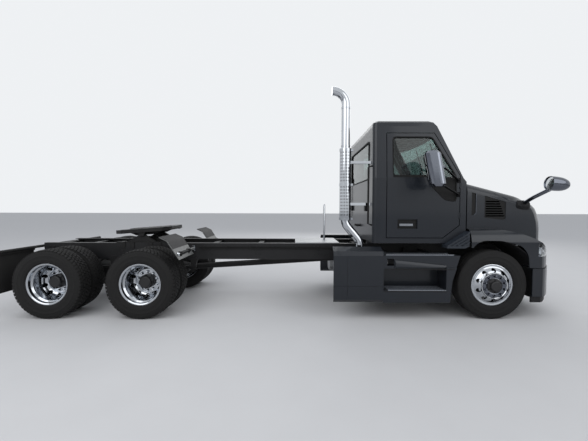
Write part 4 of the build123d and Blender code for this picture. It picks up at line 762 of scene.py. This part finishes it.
LAMP_MODULES = ((3.614, 0.76, 0.052), (3.607, 0.915, 0.045))
LAMP_Z = 0.968
FOG_Y = 0.7
HEAD = Vector((FRONT_X - 0.425, 1.25, 1.94))
POINTING = Vector((1.0, 0.0, -0.1)).normalized()
MIRROR_SHELL = [(-0.128, 0.0), (-0.128, 0.09), (-0.14, 0.0915), (-0.143, 0.095), (-0.139, 0.0985),
                (-0.1, 0.1), (-0.04, 0.0995), (0.01, 0.0955), (0.05, 0.087), (0.085, 0.0735),
                (0.112, 0.056), (0.13, 0.036), (0.139, 0.018), (0.142, 0.0)]


def make_grille_details():
    """Bright surround and fine upright wires behind the slats."""
    shape = Shape()
    run = rounded([(-0.432, 0.88), (0.432, 0.88), (0.502, 1.47), (-0.502, 1.47)], 0.05)
    fine = []
    for i, p in enumerate(run):
        following = run[(i + 1) % len(run)]
        pieces = max(1, int((following - p).length / 0.05))
        fine += [p.lerp(following, k / pieces) for k in range(pieces)]
    shape.tube([on_nose(p.x, p.y, 0.001) for p in fine], 0.0125, 10, close=True)
    shape.piece("grille_surround", "hood", CHROME, "chrome")
    for k in range(53):
        y = -0.455 + 0.0175 * k
        low = 0.895 + max(0.0, abs(y) - 0.425) / 0.07 * 0.57
        shape.tube([on_nose(y, z, -0.041) for z in (low, 1.28, 1.4, 1.455)], 0.0022, 5)
    shape.piece("grille_wires", "hood", SEAL, "black_plastic")


def make_headlamp_insides(shape, side, sign):
    """Dark back wall, side reflector and two round modules behind the lens."""
    wall = [(3.46, 0.905), (3.66, 0.905), (3.65, 0.932), (3.5, 1.042), (3.46, 1.042)]
    places = ((0.66, 0.0), (0.95, 0.0), (1.12, 0.035))
    shape.loft([[(x - back, sign * y, z) for x, z in wall] for y, back in places])
    shape.piece(f"lamp_back_{side}", "hood", REFLECTION_DARKENED_CHROME, "black_plastic")
    shape.slab((3.52, sign * 1.05, 0.945), (3.572, sign * 1.105, 1.04), 0.008)
    shape.piece(f"side_reflector_{side}", "hood", CHROME, "chrome")
    axis = (1, 0.1 * sign, 0)
    for index, (x, y, size) in enumerate(LAMP_MODULES):
        bowl = [(-0.05, 0.0), (-0.045, 0.4 * size), (-0.02, 0.8 * size), (0.0, size), (0.003, size * 1.04),
                (-0.004, size * 1.07), (-0.05, size * 0.9), (-0.055, 0.0)]
        shape.lathe(bowl, 32, (x, sign * y, LAMP_Z), axis)
        shape.piece(f"lamp_bowl_{index}_{side}", "hood", CHROME, "chrome")
        ball = 0.72 * size
        dome = [(0.016 * sin(a * pi / 16), ball * cos(a * pi / 16)) for a in range(9)]
        shape.lathe([(-0.02, 0.0), (-0.02, ball)] + dome, 32, (x + 0.002, sign * y, LAMP_Z), axis)
        shape.piece(f"lamp_projector_{index}_{side}", "hood", PROJECTOR, "lens")


def make_fog_lamp(shape, side, sign):
    place = (bumper_x(FOG_Y) - 0.01, sign * FOG_Y, 0.48)
    axis = (0.89, 0.45 * sign, 0)
    lamp = [(-0.06, 0.0), (-0.055, 0.03), (-0.02, 0.055), (-0.004, 0.061), (0.0, 0.058), (-0.004, 0.0)]
    shape.lathe(lamp, 32, place, axis)
    shape.piece(f"fog_lamp_{side}", "chassis", PROJECTOR, "lens")
    bezel = [(-0.003, 0.0605), (0.012, 0.0615), (0.014, 0.07), (-0.003, 0.074)]
    shape.lathe(bezel, 36, place, axis, closed=True)
    shape.piece(f"fog_bezel_{side}", "chassis", CHROME, "chrome")


def make_front_lamps():
    shape = Shape()
    slot = [(2.7645, 1.822), (2.7645, 1.53), (2.7295, 1.5)]
    for side, sign in SIDES:
        make_headlamp_insides(shape, side, sign)
        make_fog_lamp(shape, side, sign)
        shape.tube([(x, sign * (1.0005 - 0.1506 * (x - CAB_FRONT_X + 0.16)), z) for x, z in slot], 0.0055)
        shape.piece(f"hood_slot_edge_{side}", "hood", REFLECTION_DARKENED_CHROME, "chrome")


def make_bumper_liners():
    """Black sheets that carry the arch liners down behind the bumper's ends."""
    shape = Shape()
    corners = ((0.647, 0.57), (0.647, 1.1), (0.653, 1.1), (0.653, 0.57))
    steps = 12
    for side, sign in SIDES:
        rings = []
        for k in range(steps + 1):
            angle = radians(-18.0 + 39.5 * k / steps)
            rings.append([(STEER_X + r * cos(angle), sign * y, AXLE_Z + r * sin(angle)) for r, y in corners])
        shape.loft(rings)
        shape.piece(f"bumper_liner_{side}", "chassis", PLASTIC, "black_plastic")


def make_hood_mirrors():
    """Egg-shaped shells on bent arms from pedestals on the hood's shoulders."""
    shape = Shape()
    feet = Shape()
    foot = Vector((FRONT_X - 0.632, 0.78, 1.645))
    elbow = Vector((FRONT_X - 0.592, 0.96, 1.75))
    lead = (foot + elbow) / 2
    inlet = HEAD - Vector((0.02, 0.03, 0.03))
    bend = [foot, lead, lead.lerp(elbow, 0.7), elbow + (HEAD - elbow) * 0.12, inlet]
    rise = Vector((0, 1, 0.45)).normalized()
    level = rise.cross(Vector((1, 0, 0)))
    for sign in (1, -1):
        mirrored = Vector((1, sign, 1))
        shape.lathe(MIRROR_SHELL, 48, HEAD * mirrored, POINTING)
        shape.tube([p * mirrored for p in bend], 0.028, 16)
        rings = []
        for height, a, b in ((0.012, 0.125, 0.075), (0.07, 0.104, 0.056), (0.086, 0.092, 0.045)):
            middle = foot + rise * height
            ring = rounded([(-a, -b), (a, -b), (a, b), (-a, b)], 0.04, 4)
            rings.append([(middle + Vector((p.x, 0, 0)) + level * p.y) * mirrored for p in ring])
        feet.loft(rings)
    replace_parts(shape.piece("hood_mirror_shells", "hood", REFLECTION_DARKENED_CHROME, "chrome"), "hood_mirrors")
    feet.piece("hood_mirror_feet", "hood", PLASTIC, "black_plastic")


def make_mirror_glass():
    """Two panes on each door mirror and one on each hood mirror."""
    shape = Shape()
    turn = radians(18)
    lean = Vector((-0.0955, 0, 0.5)).normalized()
    pane = [(-0.002, 0.0), (-0.002, 0.0885), (0.001, 0.087), (0.009, 0.05), (0.011, 0.0)]
    for side, sign in SIDES:
        centre = Vector((CAB_FRONT_X - 0.622, sign * 1.42, 2.12))
        back = Vector((-cos(turn), sign * -sin(turn), 0.0))
        across = Vector((0, 0, 1)).cross(back) * 0.115
        for low, high in ((-0.145, 0.03), (0.055, 0.19)):
            corners = (lean * low - across, lean * low + across, lean * high + across, lean * high - across)
            shape.loft([[centre + back * depth + corner for corner in corners] for depth in (0.1015, 0.1045)],
                       start=False)
        shape.piece(f"mirror_glass_{side}", f"door_{side}", MIRROR, "mirror_chrome")
        place = HEAD.lerp(HEAD - POINTING, 0.127) * Vector((1, sign, 1))
        shape.lathe(pane, 40, place, -POINTING)
        shape.piece(f"hood_mirror_glass_{side}", "hood", MIRROR, "mirror_chrome")


# Frame and fifth wheel

MEMBERS = (-3.95, -3.4655, -2.8, -2.1355, -1.3355, -0.5355, 0.4275, 1.1475, 3.85)
HANGERS = (-2.9355, -1.6055, 2.2595, 3.5595)
PLATE_TILT = radians(-4.5)
PLATE_TOP = 0.1005


def make_rail_details():
    """Hexagon bolts at cross members and hangers, rivets, and air lines in their clips."""
    shape = Shape()
    bolts = [(x + dx, z) for x in MEMBERS for dx in (-0.035, 0.035) for z in (0.84, 0.9, 0.955)]
    bolts += [(x + dx, 0.79) for x in HANGERS for dx in (-0.04, 0.0, 0.04)]
    rivet = [(0.0, 0.007), (0.0008, 0.0095), (0.0008, 0.0)]
    line = [-1.5 + 0.09 * k for k in range(27)]
    for side, sign in SIDES:
        for x, z in bolts:
            shape.lathe(BOLT, 6, (x, sign * RAIL_FACE, z), (0, sign, 0))
        for k in range(26):
            shape.lathe(rivet, 10, (-4.0 + 0.305 * k, sign * RAIL_FACE, 0.985), (0, sign, 0))
        shape.piece(f"rail_bolts_{side}", "chassis", CAST, "cast_dark")
        for row, z in enumerate((0.93, 0.951)):
            shape.tube([(x, sign * (0.4475 + 0.004 * sin(9 * x + row)), z) for x in line], 0.0085, 7)
        for k in range(7):
            x = -1.45 + 0.38 * k
            shape.slab((x, sign * RAIL_FACE, 0.915), (x + 0.025, sign * 0.462, 0.966), 0.003)
        shape.piece(f"rail_lines_{side}", "chassis", SEAL, "black_plastic")


def on_plate(x, y, z):
    """A point on the tilted top plate, from the pivot line with the plate level."""
    c, s = cos(PLATE_TILT), sin(PLATE_TILT)
    return (FIFTH_X + x * c + z * s, y, FIFTH_Z - x * s + z * c)


def make_plate_fittings():
    """Bolts, webs and the release handle of the top plate, and a polished line along its edge as a painted
    highlight.
    """
    shape = Shape()
    plug = [(0, 0.0), (0, 0.016), (0.003, 0.015), (0.003, 0.0)]
    for sign in (1, -1):
        for x, y in ((-0.2, 0.36), (0.0, 0.38), (0.2, 0.36), (0.32, 0.2), (-0.36, 0.3)):
            shape.lathe(plug, 6, on_plate(x, sign * y, 0.1), (sin(PLATE_TILT), 0, cos(PLATE_TILT)))
        shape.tube([on_plate(0.33, sign * 0.05, 0.045), on_plate(0.33, sign * 0.25, 0.045)], 0.018, 10)
    shape.tube([on_plate(0.02, 0.1, 0.055), on_plate(0.14, 0.18, 0.05), on_plate(0.26, 0.26, 0.05)], 0.012)
    web = [(-0.27, 0.042), (-0.16, -0.012), (0.16, -0.012), (0.3, 0.042)]
    for y in (-0.26, -0.13, 0.13, 0.26):
        shape.loft([[on_plate(x, y + d, z) for x, z in web] for d in (-0.008, 0.008)])
    shape.piece("fifth_wheel_fittings", "fifth_wheel", CAST, "cast_dark")
    # Painted highlight: polished strips along the top plate's edges.
    edges = [(0.452, -0.25, 0.452, 0.25)]
    for sign in (1, -1):
        edges += [(0.448, sign * 0.25, 0.352, sign * 0.437), (-0.478, sign * 0.3, -0.332, sign * 0.437)]
    for x0, y0, x1, y1 in edges:
        shape.beam(on_plate(x0, y0, PLATE_TOP), on_plate(x1, y1, PLATE_TOP), 0.008, 0.004)
    shape.piece("fifth_wheel_edge_highlight", "fifth_wheel", POLISHED, "polished_aluminium")


def make_slide_fittings():
    """Bolts, angles and toothed slide rails under the fifth wheel, and the spring between them."""
    shape = Shape()
    nut = [(0, 0.0), (0, 0.018), (0.014, 0.018), (0.017, 0.013), (0.017, 0.0)]
    for sign in (1, -1):
        for x in (FIFTH_X - 0.3, FIFTH_X - 0.15, FIFTH_X + 0.15, FIFTH_X + 0.3):
            shape.lathe(nut, 6, (x, sign * 0.3, 1.031), (0, 0, 1))
            shape.slab((x - 0.04, sign * RAIL_FACE, 0.93), (x + 0.04, sign * 0.442, 1.03), 0.003)
        shape.slab((FIFTH_X - 0.42, sign * 0.33, 1.016), (FIFTH_X + 0.42, sign * 0.425, 1.03), 0.003)
        shape.slab((FIFTH_X - 0.375, sign * 0.205, 1.012), (FIFTH_X + 0.375, sign * 0.24, 1.07), 0.004)
        for k in range(14):
            x = FIFTH_X - 0.35 + 0.0525 * k
            shape.slab((x, sign * 0.195, 1.016), (x + 0.024, sign * 0.25, 1.062), 0.003)
    coil = [(-0.006, 0.03), (0.0, 0.038), (0.006, 0.03), (0.0, 0.024)]
    for k in range(12):
        shape.lathe(coil, 18, (FIFTH_X - 0.11 + 0.018 * k, 0.0, 1.06), (1, 0, 0), closed=True)
    shape.piece("fifth_wheel_mount_bolts", "chassis", CAST, "cast_dark")


# Tail and drive axles

def make_flap_ribs():
    shape = Shape()
    for sign in (1, -1):
        for k in range(11):
            y = sign * (0.6 + 0.058 * k)
            shape.beam((REAR_X, y, 0.4), (REAR_X, y, 0.9), 0.008, 0.004)
        for k in range(5):
            shape.lathe(BOLT, 6, (REAR_X + 0.006, sign * (0.62 + 0.14 * k), 0.935), (-1, 0, 0))
    shape.piece("flap_ribs", "chassis", FLAP, "flap_rubber")


def make_tail_lamps():
    shape = Shape()
    bar_x = REAR_X + 0.085
    lens = [(-0.004, 0.0), (-0.004, 0.047), (0.004, 0.0475), (0.011, 0.04), (0.015, 0.02), (0.016, 0.0)]
    bezel = [(0.0, 0.0495), (0.008, 0.0505), (0.008, 0.057), (0.0, 0.059)]
    for index, y in enumerate((-0.32, -0.2, 0.2, 0.32)):
        shape.lathe(lens, 32, (bar_x - 0.006, y, 0.684), (-1, 0, 0))
        shape.piece(f"tail_lens_{index}", "chassis", RED_LENS, "lens")
        shape.lathe(bezel, 32, (bar_x - 0.004, y, 0.684), (-1, 0, 0), closed=True)
        shape.piece(f"tail_bezel_{index}", "chassis", SEAL, "black_plastic")
    shape.box((bar_x + 0.001, -0.15, 0.63), (bar_x + 0.007, 0.15, 0.74), 0.002)
    shape.piece("plate_blank", "chassis", PLASTIC, "black_plastic")


def make_dampers():
    """A damper behind each end of the drive axles and a brake chamber ahead of it."""
    shape = Shape()
    chamber = [(0, 0.0), (0, 0.085), (0.012, 0.095), (0.07, 0.095), (0.09, 0.08), (0.15, 0.075),
               (0.165, 0.06), (0.165, 0.0)]
    for x in DRIVE_X.values():
        for sign in (1, -1):
            low = (x - 0.1, sign * 0.33, 0.6)
            shape.tube([low, (x - 0.13, sign * 0.36, 0.93)], 0.03, 12)
            shape.tube([low, (x - 0.112, sign * 0.342, 0.73)], 0.038, 12)
            shape.lathe(chamber, 24, (x + 0.15, sign * 0.47, 0.42), (1, 0, 0.35))
            shape.tube([(x + 0.16, sign * 0.47, 0.425), (x, sign * 0.47, 0.49)], 0.035, 10)
    shape.piece("dampers_and_chambers", "chassis", CAST, "cast_dark")


def make_fender_fittings():
    """Arms that carry the quarter fenders, their caps, a black sheet over each fender's bend as painted
    shade, and a polished strip on each arm's top as a painted highlight.
    """
    shape = Shape()
    arm_x = DRIVE_X["front"] + 0.536
    arm_z = 0.93
    cap = [(0, 0.0), (0, 0.026), (0.018, 0.026), (0.022, 0.018), (0.022, 0.0)]
    for sign in (1, -1):
        shape.lathe(cap, 18, (arm_x, sign * 1.16, arm_z), (0, sign, 0))
        shape.slab((arm_x - 0.02, sign * RAIL_FACE, 0.88), (arm_x + 0.03, sign * 0.47, 0.98), 0.006)
    shape.piece("fender_arm_caps", "chassis", CHROME, "chrome")
    # Painted shade: a thin black sheet laid over the bend of each grey fender.
    inner = [(-1.6572, 1.01), (-1.7135, 1.098), (-1.7335, 1.13), (-1.8485, 1.1815)]
    outer = [(-1.6537, 1.012), (-1.7105, 1.1), (-1.7315, 1.133), (-1.8475, 1.185)]
    corners = ((0, 0.58), (1, 0.58), (1, 1.21), (0, 1.21))
    for sign in (1, -1):
        shape.loft([[(pair[i][0], sign * y, pair[i][1]) for i, y in corners] for pair in zip(inner, outer)])
    shape.piece("fender_bend_painted_shade", "chassis", PLASTIC, "black_plastic")
    for sign in (1, -1):
        shape.tube([(arm_x, sign * 0.46, arm_z), (arm_x, sign * 1.155, arm_z)], 0.0235, 14)
        for y in (0.7, 1.05):
            shape.slab((arm_x - 0.03, sign * y, 0.9), (arm_x + 0.026, sign * (y + 0.05), 0.96), 0.004)
    shape.piece("fender_arms", "chassis", SEAL, "black_plastic")
    # Painted highlight: a polished strip along the top of each black arm.
    for sign in (1, -1):
        shape.beam((arm_x - 0.012, sign * 0.6, 0.9535), (arm_x - 0.012, sign * 1.15, 0.9535), 0.012, 0.004)
    shape.piece("fender_arm_highlight", "chassis", POLISHED, "polished_aluminium")


# Behind and below the cab

def make_deck_fittings():
    """Raised pattern of the deck, its bars slanting by turns, and the hand rail."""
    shape = Shape()
    for k in range(9):
        for j in range(26):
            x = CAB_BACK_X - 1.115 + 0.0278 * j
            y = -0.4 + 0.1 * k
            slant = 0.012 if (j + k) % 2 else -0.012
            shape.beam((x, y - 0.012, 1.0295), (x + slant, y + 0.012, 1.0295), 0.005, 0.0022)
    shape.piece("deck_pattern", "chassis", TREAD_PLATE, "tread_plate")
    rail = ((0.13, 1.03), (0.13, 1.62), (0.11, 1.655), (0.06, 1.66), (0.04, 1.625), (0.04, 1.03))
    shape.tube([(0.6, y, z) for y, z in rail], 0.013, 12)
    shape.piece("deck_hand_rail", "chassis", CHROME, "chrome")


def make_stack_fittings():
    """Clamps round the exhaust stack and the slots of its heat shield."""
    shape = Shape()
    x, y = CAB_BACK_X - 0.384, -0.9
    for z in (1.44, 1.95, 2.46):
        shape.band(0.018, 0.0865, 40, (x, y, z), (0, 0, 1))
        shape.slab((x + 0.084, y + 0.018, z - 0.016), (x + 0.116, y - 0.018, z + 0.016), 0.002)
    for z in (2.52, 3.08):
        shape.band(0.012, 0.0642, 40, (x, y, z), (0, 0, 1))
    shape.piece("stack_clamps", "chassis", POLISHED, "polished_aluminium")
    rise = Vector((0, 0, 0.013))
    for row in range(21):
        for k in range(13):
            angle = radians(16 * k - 150)
            middle = Vector((x, y, 1.5 + 0.046 * row)) + Vector((cos(angle), sin(angle), 0)) * 0.0862
            across = Vector((-sin(angle), cos(angle), 0)) * 0.004
            low, high = middle - rise, middle + rise
            shape.add([low - across, low + across, high + across, high - across], [(0, 1, 2, 3)])
    shape.piece("stack_shield_slots", "chassis", SEAL, "black_plastic")


def make_tank_fittings():
    """Straps and cap of the fuel tank, and bands of the air tank."""
    shape = Shape()
    for x in (0.86, 1.26, 1.66, 2.02):
        run = []
        for k in range(25):
            angle = radians(-90 - 7.5 * k)
            across = max(-1, min(1, 1.35 * cos(angle)))
            up = max(-1, min(1, 1.3 * sin(angle)))
            run.append((x, 0.7 + 0.2235 * across, 0.64 + 0.2535 * up))
        shape.strap(run, 0.03, 0.003)
    shape.piece("tank_straps", "chassis", POLISHED, "polished_aluminium")
    cap = [(0, 0.0), (0, 0.05), (0.012, 0.05), (0.016, 0.056), (0.034, 0.056), (0.04, 0.05), (0.042, 0.0)]
    shape.lathe(cap, 32, (0.84, 0.78, 0.886), (0, 0.25, 1))
    shape.piece("tank_cap", "chassis", CHROME, "chrome")
    for x in (-0.25, 0.1, 0.47):
        shape.band(0.02, 0.1185, 36, (x, 0.56, 0.82), (1, 0, 0))
    shape.piece("air_tank_bands", "chassis", SEAL, "black_plastic")


def make_back_wall_fittings():
    """Lamps, air line couplings and grab handles on the cab's back."""
    shape = Shape()
    for y in (0.62, -0.62):
        shape.slab((CAB_BACK_X - 0.03, y - 0.05, 1.55), (CAB_BACK_X, y + 0.05, 1.65), 0.006)
    coupling = [(0, 0.0), (0, 0.016), (0.03, 0.014), (0.034, 0.02), (0.05, 0.02), (0.052, 0.0)]
    for y in (-0.12, 0.0, 0.12):
        shape.lathe(coupling, 16, (CAB_BACK_X, y, 1.3), (-1, 0, 0))
    grab = ((0.0, 1.35), (0.055, 1.37), (0.055, 2.2), (0.0, 2.22))
    for y in (-0.985, 0.985):
        shape.tube([(CAB_BACK_X - stand, y, z) for stand, z in grab], 0.014, 10)
    shape.piece("back_wall_fittings", "chassis", SEAL, "black_plastic")


for make in (make_tyres, make_wheel_fittings, make_steps, make_seals, make_door_trim, make_cab_lining,
             make_seat_details, make_instruments, make_wipers, make_cowl_slats, make_roof_lamps,
             make_grille_details, make_front_lamps, make_bumper_liners, make_hood_mirrors,
             make_mirror_glass, make_rail_details, make_plate_fittings, make_slide_fittings,
             make_flap_ribs, make_tail_lamps, make_dampers, make_fender_fittings, make_deck_fittings,
             make_stack_fittings, make_tank_fittings, make_back_wall_fittings):
    make()


# Floor, sky, lamps and camera

def make_floor():
    mesh = bpy.data.meshes.new("floor")
    reach = 90.0
    mesh.from_pydata([(-reach, -reach, 0), (reach, -reach, 0), (reach, reach, 0), (-reach, reach, 0)], [],
                     [(0, 1, 2, 3)])
    floor = bpy.data.objects.new("floor", mesh)
    bpy.context.scene.collection.objects.link(floor)
    mesh.materials.append(surface("floor_plain", (0.56, 0.56, 0.565), (0.6, 0.6, 0.605), 0.8, scale=2))


def make_world():
    """A plain pale sky, and light that weakens towards the ground."""
    world = bpy.data.worlds.new("studio")
    bpy.context.scene.world = world
    world.use_nodes = True
    tree = world.node_tree
    ramp = add_node(tree, "ShaderNodeValToRGB", {"Fac": axes(tree, "Generated")["Z"]})
    low, high = ramp.color_ramp.elements
    low.position = 0.0
    low.color = (0.1, 0.105, 0.115, 1)
    high.position = 0.8
    high.color = (0.72, 0.75, 0.8, 1)
    path = tree.nodes.new("ShaderNodeLightPath").outputs
    seen = path["Is Camera Ray"]
    for kind in ("Is Glossy Ray", "Is Transmission Ray"):
        seen = calculate(tree, "MAXIMUM", seen, path[kind])
    sky = blend(tree, seen, ramp.outputs["Color"], (0.86, 0.88, 0.9, 1))
    set_inputs(tree, tree.nodes["Background"], {"Color": sky, "Strength": 1.0})


def add_lamp(name, place, target, size, power):
    data = bpy.data.lights.new(name, "AREA")
    data.shape = "DISK"
    data.size = size
    data.energy = power
    lamp = bpy.data.objects.new(name, data)
    lamp.location = place
    lamp.rotation_euler = (Vector(target) - Vector(place)).to_track_quat("-Z", "Y").to_euler()
    bpy.context.scene.collection.objects.link(lamp)


def make_camera():
    data = bpy.data.cameras.new("photo_camera")
    data.sensor_width = 36.0
    data.lens = 20.02
    data.clip_end = 400.0
    camera = bpy.data.objects.new("photo_camera", data)
    camera.location = (0.073, -5.82, 1.60)
    camera.rotation_euler = (radians(90 - 2.2), radians(-0.15), radians(0.175))
    bpy.context.scene.collection.objects.link(camera)
    bpy.context.scene.camera = camera


make_floor()
make_world()
add_lamp("key", (-5.5, -9.5, 9.0), (0, 0, 1.0), 13.0, 690)
add_lamp("fill", (8.5, -8.0, 6.5), (1.5, 0, 1.0), 10.0, 330)
add_lamp("back", (3.5, 10.5, 8.5), (0, 0, 1.5), 11.0, 480)
make_camera()
bpy.context.scene.view_settings.view_transform = "Standard"
